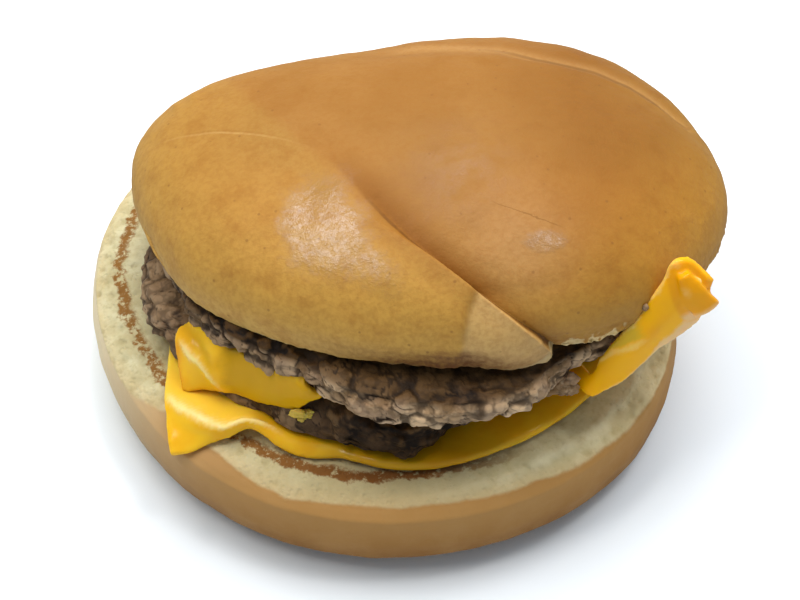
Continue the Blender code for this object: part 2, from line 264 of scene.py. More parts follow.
class Finish:
    """One material, with its Principled shader."""

    def __init__(self, name):
        self.material = bpy.data.materials.new(name)
        self.material.use_nodes = True
        self.tree = self.material.node_tree
        self.shader = self.tree.nodes["Principled BSDF"]
        self.place = self.node("ShaderNodeTexCoord", {}, {}, "Object")

    def node(self, kind, settings, inputs, output=0):
        item = self.tree.nodes.new(kind)
        for key, value in settings.items():
            if key == "stops":
                self.set_stops(item.color_ramp, value)
            else:
                setattr(item, key, value)
        for key, value in inputs.items():
            if isinstance(value, Value):
                self.tree.links.new(value.socket, item.inputs[key])
            else:
                item.inputs[key].default_value = value
        return Value(self, item.outputs[output])

    def set_stops(self, ramp, stops):
        while len(ramp.elements) < len(stops):
            ramp.elements.new(0.5)
        for element, (position, colour) in zip(ramp.elements, stops):
            element.position = position
            element.color = (*colour, 1.0)

    def read(self, name):
        """A number stored on the mesh's points."""
        return self.node("ShaderNodeAttribute", {"attribute_name": name}, {}, "Fac")

    def noise(self, size, detail=3.0, roughness=0.55, warp=0.0):
        inputs = {"Vector": self.place, "Scale": 1.0 / size, "Detail": detail,
                  "Roughness": roughness, "Distortion": warp}
        return self.node("ShaderNodeTexNoise", {}, inputs, "Fac")

    def spots(self, size):
        """Distance from the nearest of many scattered points, in their own spacing."""
        inputs = {"Vector": self.place, "Scale": 1.0 / size}
        return self.node("ShaderNodeTexVoronoi", {"feature": "F1"}, inputs, "Distance")

    def axes(self):
        """The three coordinates of the place, in metres."""
        split = self.node("ShaderNodeSeparateXYZ", {}, {0: self.place})
        return [Value(self, socket) for socket in split.socket.node.outputs]

    def hairline(self, distance, width):
        """1 on the line where the distance is 0, and 0 beyond the width."""
        return (distance * distance).step(width * width, 0.0)

    def mix(self, share, first, second, blend="MIX"):
        """A colour between two colours."""
        colours = {}
        for key, colour in ((6, first), (7, second)):
            colours[key] = colour if isinstance(colour, Value) else (*colour, 1.0)
        settings = {"data_type": "RGBA", "blend_type": blend}
        return self.node("ShaderNodeMix", settings, {0: share, **colours}, 2)

    def bump(self, height, distance, strength=1.0, normal=None):
        inputs = {"Height": height, "Distance": distance, "Strength": strength}
        if normal is not None:
            inputs["Normal"] = normal
        return self.node("ShaderNodeBump", {}, inputs, "Normal")

    def set(self, **inputs):
        for key, value in inputs.items():
            socket = self.shader.inputs[key.replace("_", " ")]
            if isinstance(value, Value):
                self.tree.links.new(value.socket, socket)
            else:
                socket.default_value = value
        return self

    def on(self, item):
        """Put the material on a piece."""
        item.data.materials.clear()
        item.data.materials.append(self.material)


# %% [markdown]
# ## Sizes shared by the layers
# The layers lie on each other, so each one must know the height of the one below. The
# outlines are ellipses with a few slow waves, as soft food has after a squeeze.

# %% Outlines and levels
GAP = 0.3 * mm
STACK_FALL = 0.03
SLICE_THICKNESS = 2.0 * mm
HEEL_HEIGHT = 14.5 * mm
LOWER_PATTY_CENTRE = np.array((-1.0, -5.8)) * mm
UPPER_PATTY_CENTRE = np.array((4.3, -5.6)) * mm
LOWER_PATTY_Z = HEEL_HEIGHT + SLICE_THICKNESS + 2.0 * GAP
UPPER_CHEESE_Z = LOWER_PATTY_Z + 6.3 * mm + GAP
UPPER_PATTY_Z = UPPER_CHEESE_Z + SLICE_THICKNESS + GAP
STACK_TOP_Z = UPPER_PATTY_Z + 6.4 * mm


def lobed(angle, lobes):
    return 1.0 + sum(c * np.cos(n * angle) + s * np.sin(n * angle) for n, c, s in lobes)


def oval(angle, radii):
    return mm / np.hypot(np.cos(angle) / radii[0], np.sin(angle) / radii[1])


def heel_radius(angle):
    return 49.7 * mm * lobed(angle, ((2, -0.015, 0.014), (3, -0.030, -0.009), (4, -0.003, -0.017)))


def lower_patty_radius(angle):
    shape = lobed(angle, ((3, 0.008, -0.006), (5, 0.006, 0.008), (7, -0.007, 0.005)))
    dent = 0.065 * bell(turn_between(angle, radians(-120.0)), 0.0, radians(24.0))
    return oval(angle, (40.0, 35.7)) * (shape - dent)


def upper_patty_radius(angle):
    shape = lobed(angle, ((4, 0.006, 0.004), (6, 0.006, -0.006), (9, 0.004, 0.005)))
    left_dent = 0.10 * bell(turn_between(angle, radians(-124.0)), 0.0, radians(16.0))
    right_dent = 0.05 * bell(turn_between(angle, radians(-45.0)), 0.0, radians(16.0))
    return oval(angle, (40.4, 35.0)) * (shape - left_dent - right_dent)


def past_edge(x, y, centre, radius):
    """How far a place lies outside an outline."""
    dx, dy = x - centre[0], y - centre[1]
    return np.hypot(dx, dy) - radius(np.arctan2(dy, dx))


def heel_top(x, y):
    """Height of the heel's cut face, which rolls over at its rim."""
    inset = heel_radius(np.arctan2(y, x)) - np.hypot(x, y)
    swell = 0.25 * mm * bell(inset, 7.5 * mm, 3.0 * mm)
    roll_over = 1.3 * mm * (1.0 - soft_step(0.0, 6.0 * mm, inset)) ** 1.5
    return HEEL_HEIGHT - STACK_FALL * y + swell - roll_over


print("stack top over the origin, mm:", round(STACK_TOP_Z / mm, 2))

# %% [markdown]
# ## The heel
# The bottom half of a bun is a low round loaf, cut flat. Below the cut is a soft, thin,
# golden crust. The cut face is open crumb, with a broken brown ring where it touched a
# hot plate. A ball is flattened into the loaf, and most of its rings are spent on the
# part of the face and side that shows. The torn crumb is real relief.

# %% Heel: the loaf
heel, down, bearing = ball("heel_bun", 880, 104)
HEEL_WAY = (0.0, 0.10, 0.50, 0.56, 0.60, 0.66, 0.74, 0.81, 0.86, 0.90, 0.94, 1.0)
HEEL_INSET = (49.7, 30.0, 4.6, 2.2, 1.0, 0.45, 0.0, 0.35, 1.6, 4.4, 9.5, 49.7)
HEEL_LEVEL = (1.0, 1.0, 1.0, 1.0, 0.97, 0.84, 0.58, 0.33, 0.17, 0.055, 0.0, 0.0)
inset = run_through(down, HEEL_WAY, HEEL_INSET, 7) * mm
level = run_through(down, HEEL_WAY, HEEL_LEVEL, 7)
reach = np.maximum(heel_radius(bearing) * (1.0 - inset / (49.7 * mm)), 0.0)
x, y = reach * np.cos(bearing), reach * np.sin(bearing)
foot = soft_step(0.955, 0.935, down)
set_points(heel, np.column_stack((x, y, np.clip(level, 0.0, 1.0) * heel_top(x, y) * foot)))
print("heel faces:", len(heel.data.polygons))

# %% Heel: crumb and crust relief
points = points_of(heel)
facing = outward(heel)
wander = rough(points, 9.0 * mm, 3)
edge_inset = heel_radius(bearing) - np.hypot(points[:, 0], points[:, 1])
on_face = soft_step(0.93, 0.99, level) * (facing[:, 2] > 0.0)
CRUST_BEARINGS = np.radians((-180, -158, -148, -138, -124, -110, -90, -62, -42, 0, 120, 180))
CRUST_REACH = np.array((-0.6, -0.5, 0.6, 3.9, 3.0, 1.9, 2.4, 2.1, 0.5, 0.0, 0.0, -0.6)) * mm
crust_reach = np.interp(bearing, CRUST_BEARINGS, CRUST_REACH)
cut = on_face * soft_step(0.0, 1.4 * mm, edge_inset - crust_reach + 0.5 * mm * wander)
torn = rough(points, 3.4 * mm, 4)
fluff = rough(points, 1.1 * mm, 3, 5.0)
near, second, tone = cells(points + 0.5 * mm * np.column_stack((fluff, torn, wander)), 1.9 * mm)
pores = np.exp(-(near / 0.33) ** 2) * (tone > 0.15)
crumb_relief = 0.17 * mm * torn + 0.11 * mm * fluff - 0.34 * mm * pores
ridge = bell(edge_inset, 5.0 * mm + 0.7 * mm * wander, 0.9 * mm)
ridge *= soft_step(radians(-88.0), radians(-55.0), bearing) * soft_step(0.6, 0.0, bearing)
crumb_relief += ridge * (0.5 + 0.6 * torn) * mm
crust_relief = 0.16 * mm * rough(points, 7.0 * mm, 2) + 0.035 * mm * rough(points, 1.6 * mm, 2)
relief = cut * crumb_relief + (1.0 - cut) * crust_relief
relief *= soft_step(0.0, 1.5 * mm, points[:, 2])
under_stack = soft_step(-2.5 * mm, -0.5 * mm, edge_inset - 12.0 * mm)
relief = np.where(cut > 0.5, np.minimum(relief, (0.28 - 0.2 * under_stack) * mm), relief)
set_points(heel, points + facing * relief[:, None])
RING_BEARINGS = np.radians((-180, -157, -145, -124, -100, -77, -40, 0, 60, 140, 165, 180))
RING_INSETS = np.array((5.2, 6.6, 7.1, 8.4, 8.3, 8.9, 8.5, 8.0, 7.0, 5.6, 5.4, 4.9)) * mm
ring_place = edge_inset - np.interp(bearing, RING_BEARINGS, RING_INSETS)
keep_values(heel, "cut", cut)
keep_values(heel, "pore", pores)
keep_values(heel, "ridge", np.clip(ridge * (0.6 + 0.8 * torn), 0.0, 1.0))
keep_values(heel, "torn", torn)
keep_values(heel, "ring_place", ring_place / mm)
keep_values(heel, "ring_heat", soft_step(radians(-52.0), radians(-84.0), bearing)
            + soft_step(radians(20.0), radians(60.0), bearing))
keep_values(heel, "front", bell(bearing, radians(-92.0), radians(26.0)))
keep_values(heel, "floury", bell(turn_between(bearing, radians(-173.0)), 0.0, radians(29.0)))
keep_values(heel, "warm", np.maximum(0.8 * soft_step(4.0 * mm, 0.5 * mm, edge_inset - crust_reach), soft_step(radians(-62.0), radians(-30.0), bearing)
            * soft_step(radians(80.0), radians(40.0), bearing) * soft_step(9.0 * mm, 5.0 * mm, edge_inset)))
keep_values(heel, "height", points[:, 2] / mm)
clear_selection()
heel.select_set(True)
bpy.context.view_layer.objects.active = heel
bpy.ops.object.shade_smooth()
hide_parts("heel")
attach(heel, "root")
print("pores cover", round(float((pores > 0.5).mean()), 3), "of the heel")

# %% [markdown]
# ## The patties
# A patty is minced beef that was pressed and fried. Its side is a crowd of small lumps
# with dark cracks between them. Cell noise gives both: the distance to a cell's seed
# rounds each lump, and the border between two cells is the crack. Three sizes of cell
# are laid over each other, and the cells are bent by noise so that they don't look round.

# %% Patty builder
PATTY_WAY = (0.0, 0.08, 0.30, 0.37, 0.45, 0.55, 0.66, 0.75, 0.90, 1.0)
PATTY_OUT = (0.0, 0.0, 10.4, 12.6, 13.7, 14.0, 13.2, 11.6, 0.0, 0.0)
PATTY_CORE = (0.0, 1.0, 1.0, 1.0, 1.0, 1.0, 1.0, 1.0, 1.0, 0.0)
PATTY_LEVEL = (1.0, 1.0, 1.0, 0.93, 0.72, 0.42, 0.14, 0.0, 0.0, 0.0)


def mince(points, seed):
    """Lump height, crack depth and lump tone for each point."""
    bend = np.column_stack([rough(points, 2.6 * mm, 2, seed + i * 9.1) for i in range(3)])
    bent = points + 1.15 * mm * bend
    height, crack, shade = 0.22 * rough(points, 1.8 * mm, 3, seed + 5.0), 0.0, 0.0
    for size, lift, depth, width in ((5.2, 1.00, 0.50, 0.20), (2.5, 0.34, 0.34, 0.20), (1.2, 0.10, 0.06, 0.20)):
        near, second, tone = cells(bent, size * mm, seed + size)
        border = np.exp(-((second - near) / width) ** 2)
        height = height + lift * ((tone - 0.5) * 0.8 + 0.45 - 0.75 * near ** 2)
        height = height - depth * border * (0.3 + tone)
        crack = np.maximum(crack, border * (0.3 + tone) * (depth / 0.45) ** 0.7)
        shade = shade + lift * tone
    return height * mm, crack, shade / 1.40


def patty(name, centre, radius, lean, soaked, base_z, height, seed):
    """A patty whose side leans inward by the given amount at its top."""
    item, down, bearing = ball(name, 600, 112)
    out = run_through(down, PATTY_WAY, PATTY_OUT, 5) * mm
    core = run_through(down, PATTY_WAY, PATTY_CORE, 5)
    level = np.clip(run_through(down, PATTY_WAY, PATTY_LEVEL, 5), 0.0, 1.0)
    reach = (radius(bearing) - 14.0 * mm) * core + out - lean(bearing) * level * core
    x = centre[0] + reach * np.cos(bearing)
    y = centre[1] + reach * np.sin(bearing)
    set_points(item, np.column_stack((x, y, base_z + level * height - STACK_FALL * y)))
    points, facing = points_of(item), outward(item)
    lumps, crack, shade = mince(points, seed)
    inset = radius(bearing) - lean(bearing) * level - reach
    side = soft_step(7.0 * mm, 1.5 * mm, inset)
    flat = 1.0 - soft_step(0.25, 0.7, np.hypot(facing[:, 0], facing[:, 1]))
    strength = side * (1.0 - 0.45 * flat) * soft_step(-0.35, 0.30, level) + 0.15
    strength *= 1.0 - 0.7 * soft_step(2.0 * mm, 5.0 * mm, lean(bearing))
    sag = 0.7 * mm * rough(points, 7.0 * mm, 2, seed + 3.0) * strength
    moved = points + facing * ((lumps - 0.25 * mm) * strength + sag)[:, None]
    set_points(item, moved)
    apply_modifier(item, "SMOOTH", factor=0.5, iterations=2)
    keep_values(item, "crack", np.clip(crack, 0.0, 1.0))
    keep_values(item, "tone", shade)
    # Painted shade, and painted light low on the side, are stored for the finish.
    keep_values(item, "soaked", soaked(level, bearing))
    keep_values(item, "dry", soft_step(0.75, 0.40, level) * soft_step(0.35, 0.0, soaked(level, bearing)))
    clear_selection()
    item.select_set(True)
    bpy.context.view_layer.objects.active = item
    bpy.ops.object.shade_smooth()
    return item


# %% Patties: both layers
def behind_cheese(angle, low, high):
    """1 where the upper slice hangs over the patty's side, fading out beside it."""
    turned = turn_between(angle, radians(-130.0))
    return soft_step(radians(low - 9.0), radians(low), turned) * soft_step(radians(high + 14.0), radians(high), turned)


def lower_patty_looks(angle):
    """Pressed in behind the hanging corner, and set back under the upper patty's right."""
    set_back = soft_step(radians(-86.0), radians(-64.0), angle) * soft_step(radians(-18.0), radians(-34.0), angle)
    return lower_patty_radius(angle) - 2.0 * mm * behind_cheese(angle, -17.0, 2.0) - 4.8 * mm * set_back


def lower_lean(angle):
    front = bell(turn_between(angle, radians(-80.0)), 0.0, radians(30.0))
    return np.maximum(6.0 * mm * behind_cheese(angle, -25.0, 18.0), 1.5 * mm * front)


def lower_painted_shade(level, angle):
    """Painted shade all round, and most of all at the front."""
    left = soft_step(radians(-128.0), radians(-150.0), angle)
    return np.clip(0.6 + 0.4 * bell(turn_between(angle, radians(-80.0)), 0.0, radians(45.0)) - 0.25 * left, 0.0, 1.0)


def upper_painted_shade(level, angle):
    """Painted shade at the top, under the crown, a little round the right, and more at the left."""
    right = soft_step(radians(-62.0), radians(-40.0), angle) * soft_step(radians(60.0), radians(0.0), angle)
    left = 0.5 * soft_step(radians(-118.0), radians(-135.0), angle)
    return np.clip(0.95 * soft_step(0.76, 0.98, level) + np.maximum(0.2 * right, left), 0.0, 1.0)


lower_patty = patty("lower_beef_patty", LOWER_PATTY_CENTRE, lower_patty_looks, lower_lean, lower_painted_shade,
                    LOWER_PATTY_Z, 6.3 * mm, 11.0)


def upper_patty_looks(angle):
    """A hollow at the left, where the melted slice has crept up the side."""
    return upper_patty_radius(angle) - 1.3 * mm * bell(turn_between(angle, radians(-145.0)), 0.0, radians(14.0))


upper_patty = patty("upper_beef_patty", UPPER_PATTY_CENTRE, upper_patty_looks,
                    lambda angle: 0.0 * angle, upper_painted_shade, UPPER_PATTY_Z, 6.4 * mm, 47.0)
for item, node in ((lower_patty, "lower_patty"), (upper_patty, "upper_patty")):
    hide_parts(node)
    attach(item, "root")
print("patty faces:", len(lower_patty.data.polygons), len(upper_patty.data.polygons))

# %% [markdown]
# ## The cheese slices
# A processed slice is one even sheet. Warm, it bends like wet cloth: it lies flat where
# it is held between layers, and its free corners hang over the edge in soft folds. Each
# fold is laid as a small patch: rows of points in the air, with a smooth surface drawn
# through them. The patch gets the slice's thickness with Solidify. A Voxel Remesh then
# melts the patches and the flat slice into one skin, with the round edges cheese has.

# %% Sheets through rows of points
def curve_weights(t, count):
    """For a smooth curve through evenly spaced points: four indices and weights."""
    place = np.clip(t, 0.0, 1.0) * (count - 1)
    i = np.minimum(place.astype(int), count - 2)
    f = place - i
    weights = np.column_stack((-0.5 * f * (1 - f) ** 2,
                               1 - f * f * (3 - 2 * f) - 0.5 * f * f * (f - 1),
                               f * f * (3 - 2 * f) + 0.5 * f * (1 - f) ** 2,
                               0.5 * f * f * (f - 1)))
    first = np.clip(np.column_stack((i - 1, i, i + 1, i + 2)), 0, count - 1)
    return first, weights


def read_rows(rows, t, w):
    """Points of the smooth surface through the rows, t along them and w across."""
    rows = np.array(rows)
    i, a = curve_weights(t, rows.shape[0])
    j, b = curve_weights(w, rows.shape[1])
    patch = rows[i[:, :, None], j[:, None, :]]
    return np.einsum("na,nb,nabc->nc", a, b, patch) * mm


def laid_sheet(name, rows, lengths, widths, offset, thickness=SLICE_THICKNESS, torn=0.0):
    """A grid laid over the rows and given the slice's thickness."""
    clear_selection()
    bpy.ops.mesh.primitive_grid_add(x_subdivisions=lengths, y_subdivisions=widths, size=2.0)
    item = named(name)
    points = points_of(item)
    t, w = points[:, 0] / 2.0 + 0.5, points[:, 1] / 2.0 + 0.5
    bite = rough(np.column_stack((t * 24.0, 0.0 * t, 0.0 * t)), 1.0, 3, 3.3)
    set_points(item, read_rows(rows, t, w + torn * bite * (1.0 - w)))
    apply_modifier(item, "SOLIDIFY", thickness=thickness, offset=offset)
    return item


def flat_slice(name, centre, outline, floor):
    """The part of a slice between the layers: a ball pressed into a thin round sheet."""
    item, down, bearing = ball(name, 360, 64)
    way = (0.0, 0.40, 0.46, 0.50, 0.54, 0.60, 1.0)
    share = run_through(down, way, (0.0, 0.93, 0.988, 1.0, 0.988, 0.93, 0.0), 3)
    level = run_through(down, way, (1.0, 1.0, 0.9, 0.5, 0.1, 0.0, 0.0), 3)
    reach = outline(bearing) * share
    x = centre[0] + reach * np.cos(bearing)
    y = centre[1] + reach * np.sin(bearing)
    set_points(item, np.column_stack((x, y, floor(x, y) + level * SLICE_THICKNESS)))
    return item


def read_back(item, rows):
    """For each point of a melted slice: how far along and across the laid sheet it lies."""
    steps = [(t, w) for t in np.linspace(0.0, 1.0, 90) for w in np.linspace(0.0, 1.0, 40)]
    steps = np.array(steps)
    tree = KDTree(len(steps))
    for number, place in enumerate(read_rows(rows, steps[:, 0], steps[:, 1])):
        tree.insert(place, number)
    tree.balance()
    found = [tree.find(place) for place in points_of(item)]
    near = soft_step(2.2 * mm, 1.6 * mm, np.array([hit[2] for hit in found]))
    return steps[[hit[1] for hit in found]].T, near


def melt_together(items, name, size):
    item = join(items, name)
    apply_modifier(item, "REMESH", mode="VOXEL", voxel_size=size)
    apply_modifier(item, "SMOOTH", factor=0.5, iterations=9)
    return item


# %% [markdown]
# The lower slice lies on the heel. All along the front it ends just past the patty, as
# a thin strip. At the front left its corner is free: it runs over the heel's shoulder,
# bends along a soft ridge and hangs down to a point, and then arches off the bread.

# %% Lower slice
LOWER_CORNER_ROWS = (
    ((-35.3, -12.0, 16.9), (-35.7, -21.0, 17.7), (-35.9, -28.3, 18.7), (-35.5, -32.6, 17.4), (-34.7, -37.2, 15.6)),
    ((-31.5, -12.0, 17.0), (-32.4, -22.0, 17.7), (-32.6, -31.0, 19.2), (-32.0, -34.0, 17.5), (-31.4, -36.9, 15.7)),
    ((-27.0, -13.0, 17.1), (-28.6, -24.5, 17.9), (-29.7, -33.1, 19.4), (-29.2, -35.0, 17.9), (-28.7, -36.1, 16.4)),
    ((-23.0, -15.0, 17.1), (-25.0, -27.0, 18.0), (-26.4, -34.5, 19.4), (-25.9, -35.2, 18.4), (-25.4, -35.5, 17.3)),
    ((-19.5, -17.0, 17.1), (-21.5, -29.0, 18.4), (-22.4, -33.6, 20.0), (-22.0, -34.2, 19.3), (-21.8, -34.6, 18.4)),
    ((-15.5, -19.0, 17.1), (-17.8, -31.0, 17.9), (-18.4, -34.3, 18.7), (-18.1, -35.9, 17.9), (-17.6, -37.0, 16.9)),
    ((-11.0, -21.0, 17.1), (-13.2, -33.0, 17.7), (-13.7, -36.4, 17.9), (-13.5, -37.8, 17.3), (-13.4, -38.6, 16.5)),
    ((-6.0, -22.0, 17.1), (-6.6, -34.0, 17.7), (-6.6, -37.1, 17.8), (-6.5, -38.1, 17.3), (-6.4, -38.7, 16.6)),
)


def square_reach(angle, centre, middle):
    """Distance from the centre to the edge of a square slice round the middle."""
    half = 42.0 * mm
    across, along = np.cos(angle), np.sin(angle)
    to_side = (middle[0] * mm + np.sign(across) * half - centre[0]) / np.where(across == 0, 1e-9, across)
    to_end = (middle[1] * mm + np.sign(along) * half - centre[1]) / np.where(along == 0, 1e-9, along)
    return np.minimum(to_side, to_end)


def lower_outline(angle):
    """Just past the patty at the front, and further out at the back."""
    back = soft_step(radians(70.0), radians(125.0), np.abs(turn_between(angle, radians(-60.0))))
    corner = bell(turn_between(angle, radians(-139.0)), 0.0, radians(30.0))
    limit = lower_patty_radius(angle) + 0.2 * mm + 4.5 * mm * back - 3.0 * mm * corner
    return np.minimum(limit, square_reach(angle, LOWER_PATTY_CENTRE, (6.0, -1.5)))


def lower_floor(x, y):
    return heel_top(x, y) + GAP


lower_flat = flat_slice("lower_flat", LOWER_PATTY_CENTRE, lower_outline, lower_floor)
lower_corner = laid_sheet("lower_corner", LOWER_CORNER_ROWS, 90, 60, 1.0)
lower_cheese = melt_together([lower_flat, lower_corner], "lower_cheese_slice", 0.38 * mm)
print("lower slice faces:", len(lower_cheese.data.polygons))

# %% [markdown]
# The upper slice is held between the patties. Its left corner drapes over the lower
# patty's side with one diagonal fold. Its right corner stands up as a flap: it swings
# round the end of the patty, climbs past the crown, and its tip is folded outwards.

# %% Upper slice
UPPER_CORNER_ROWS = (
    ((-31.6, -18.8, 26.8), (-33.4, -19.7, 26.2), (-34.4, -21.5, 24.2), (-33.8, -24.3, 21.6), (-33.1, -27.4, 18.9)),
    ((-30.1, -20.6, 28.2), (-31.0, -21.8, 26.9), (-31.8, -23.4, 25.4), (-32.1, -25.5, 22.0), (-31.9, -27.7, 19.0)),
    ((-28.4, -21.9, 28.2), (-28.9, -23.1, 26.9), (-29.7, -24.4, 25.9), (-29.9, -25.9, 24.0), (-29.3, -27.8, 19.6)),
    ((-26.4, -24.3, 29.2), (-27.2, -25.2, 27.4), (-27.7, -26.2, 25.5), (-27.3, -27.9, 23.1), (-26.1, -28.6, 19.9)),
    ((-24.5, -25.5, 27.8), (-25.0, -26.8, 26.2), (-25.2, -27.8, 24.4), (-24.9, -28.8, 22.4), (-24.2, -29.2, 20.2)),
    ((-21.6, -27.6, 29.2), (-21.9, -28.6, 27.2), (-22.0, -29.4, 25.0), (-21.8, -30.2, 22.8), (-21.4, -30.8, 20.6)),
    ((-18.3, -29.8, 28.8), (-18.5, -30.8, 27.0), (-18.6, -31.4, 25.0), (-18.6, -31.8, 23.0), (-18.5, -32.0, 21.2)),
    ((-15.4, -31.6, 30.0), (-15.6, -32.5, 28.0), (-15.7, -33.0, 25.6), (-15.6, -33.0, 23.4), (-15.5, -33.0, 21.6)),
    ((-13.2, -33.4, 29.4), (-13.3, -34.0, 28.0), (-13.4, -34.1, 26.4), (-13.5, -33.9, 24.8), (-13.6, -33.5, 23.2)),
    ((-10.3, -33.9, 26.8), (-10.9, -34.2, 26.5), (-11.5, -34.2, 26.1), (-12.0, -34.0, 25.6), (-12.4, -33.6, 25.1)),
)
FLAP_EDGES = (
    ((25.8, -23.2, 25.2), (27.0, -21.6, 25.4), 0.0),
    ((30.0, -31.6, 24.6), (31.0, -29.0, 26.2), 0.2),
    ((32.8, -31.1, 24.8), (32.3, -28.1, 28.8), 0.5),
    ((35.7, -30.1, 26.3), (34.5, -27.0, 32.6), 0.7),
    ((38.7, -27.8, 27.9), (37.1, -25.7, 35.7), 0.9),
    ((41.0, -26.1, 29.3), (39.1, -24.1, 38.5), 1.1),
    ((43.4, -25.1, 30.4), (40.9, -22.9, 41.7), 1.4),
    ((45.0, -24.7, 31.8), (41.8, -21.6, 44.1), 1.9),
    ((46.4, -24.2, 33.3), (43.1, -21.2, 45.4), 1.4),
    ((47.2, -23.8, 34.0), (45.2, -21.3, 45.0), 0.1),
    ((47.9, -23.2, 36.3), (47.8, -22.3, 42.6), 0.0),
    ((48.5, -22.9, 38.7), (48.5, -22.9, 41.3), 0.0),
)
EAR_ROWS = (
    ((43.0, -23.6, 44.2), (43.8, -23.8, 44.6), (44.6, -23.2, 45.0)),
    ((44.0, -24.7, 41.6), (45.2, -24.9, 42.4), (46.4, -24.0, 43.2)),
    ((44.8, -25.2, 39.4), (46.5, -25.5, 40.3), (48.2, -24.5, 41.0)),
    ((46.3, -25.5, 36.6), (48.1, -25.6, 38.0), (49.8, -24.6, 39.2)),
)


def bowed_rows(edges):
    """Rows across a strip between its two edges, bowed outwards by the given amount."""
    outside = np.array((0.5, -0.8, 0.3))
    shares = ((0.0, 0.0), (0.25, 0.45), (0.5, 0.95), (0.66, 1.15), (0.84, 0.65), (1.0, 0.0))
    return [[np.array(low) * (1.0 - w) + np.array(high) * w + bulge * bow * outside
             for w, bulge in shares] for low, high, bow in edges]


def upper_outline(angle):
    """Hidden well inside the patties."""
    limit = lower_patty_radius(angle) - 4.8 * mm
    under = limit
    for _ in range(4):
        x = LOWER_PATTY_CENTRE[0] + under * np.cos(angle)
        y = LOWER_PATTY_CENTRE[1] + under * np.sin(angle)
        under = under - past_edge(x, y, UPPER_PATTY_CENTRE, upper_patty_looks)
    below_tear = bell(turn_between(angle, radians(-144.0)), 0.0, radians(14.0))
    limit = np.minimum(limit, under - 3.5 * mm + 2.6 * mm * below_tear)
    return np.minimum(limit, square_reach(angle, LOWER_PATTY_CENTRE, (8.0, 6.4)))


def upper_floor(x, y):
    return UPPER_CHEESE_Z - STACK_FALL * y


upper_flat = flat_slice("upper_flat", LOWER_PATTY_CENTRE, upper_outline, upper_floor)
upper_corner = laid_sheet("upper_corner", UPPER_CORNER_ROWS, 90, 60, 1.0, torn=0.09)
flap_rows = bowed_rows(FLAP_EDGES)
flap = laid_sheet("flap", flap_rows, 120, 60, 0.0, 1.8 * mm)
ear = laid_sheet("ear", EAR_ROWS, 40, 30, 0.0, 1.5 * mm)
upper_cheese = melt_together([upper_flat, upper_corner, flap, ear], "upper_cheese_slice", 0.34 * mm)
print("upper slice faces:", len(upper_cheese.data.polygons))

# %% Cheese: crests and colour masks
def lower_masks(item, wavy):
    """The crest of the corner's fold, with a painted highlight, its top, painted paler as lit, and the painted shade on
    the strip at the front.
    """
    (along, over), near = read_back(item, LOWER_CORNER_ROWS)
    crest = near * bell(over + 0.3 * wavy, 0.5, 0.045) * soft_step(0.80, 0.62, along) * soft_step(0.0, 0.08, along)
    pale = near * soft_step(0.60, 0.45, over) * soft_step(0.72, 0.5, along)
    shaded = bell(points_of(item)[:, 0], 3.0 * mm, 17.0 * mm)
    return crest, {"crest": crest, "pale": pale, "shaded": shaded}


def upper_masks(item, wavy):
    """Crests and tints of the hanging corner, the standing flap and its folded tip: painted
    highlights on the crests, painted shade in the hollows, at the root, in the olive parts
    and in the smear, and painted light on the cut side and the thin edges.
    """
    (along, over), near = read_back(item, flap_rows)
    cut_side = soft_step(0.10, 0.20, along) * soft_step(0.86, 0.78, along)
    cut_side *= soft_step(0.04, -0.04, over + wavy * 0.5 - 0.02 - 0.20 * soft_step(0.15, 0.70, along))
    lip = soft_step(0.25, 0.34, along) * soft_step(0.76, 0.66, along) * soft_step(0.90, 0.96, over + wavy)
    strip = soft_step(0.12, 0.17, along) * soft_step(0.40, 0.34, along)
    strip_place = 0.95 - 2.2 * (along - 0.18)
    crest = near * bell(over, 0.64, 0.05) * soft_step(0.64, 0.72, along) * soft_step(0.90, 0.80, along)
    masks = {"cut_side": near * cut_side, "flap": near,
             "thin": near * np.maximum(lip, strip * bell(over + 0.8 * wavy, strip_place, 0.05)),
             "greenish": near * strip * soft_step(0.04, 0.12, over + 0.5 * wavy - strip_place),
             "shaded": 0.9 * near * soft_step(0.30, 0.10, along),
             "hollow": 0.9 * near * np.maximum(bell(along, 0.76, 0.10) * bell(over, 0.36, 0.16), 0.5 * bell(along, 0.42, 0.09) * bell(over, 0.50, 0.16))}
    (along, over), near = read_back(item, EAR_ROWS)
    masks["flap"] = np.maximum(masks["flap"], near)
    masks["hollow"] = np.maximum(masks["hollow"], 0.7 * near)
    masks["cut_side"] = np.maximum(masks["cut_side"] * (1.0 - near), near * soft_step(0.80, 0.97, along + 0.5 * wavy))
    (along, over), near = read_back(item, UPPER_CORNER_ROWS)
    from_crest = over - 0.40 - 1.45 * along
    left_part = near * soft_step(0.36, 0.26, along)
    crest = np.maximum(crest, left_part * bell(from_crest, 0.0, 0.05) * soft_step(0.03, 0.10, along))
    above = left_part * bell(from_crest, -0.26, 0.14)
    masks["shaded"] = np.maximum(masks["shaded"], 0.5 * above)
    masks["hollow"] = np.maximum(masks["hollow"], near * bell(along + 0.05 * over, 0.055, 0.035) * soft_step(0.42, 0.60, over))
    masks["smear"] = near * soft_step(0.32, 0.44, along + 0.5 * wavy)
    masks["edge"] = near * soft_step(0.12, 0.0, over + wavy)
    masks["crest"] = crest
    return crest - 0.8 * above, masks


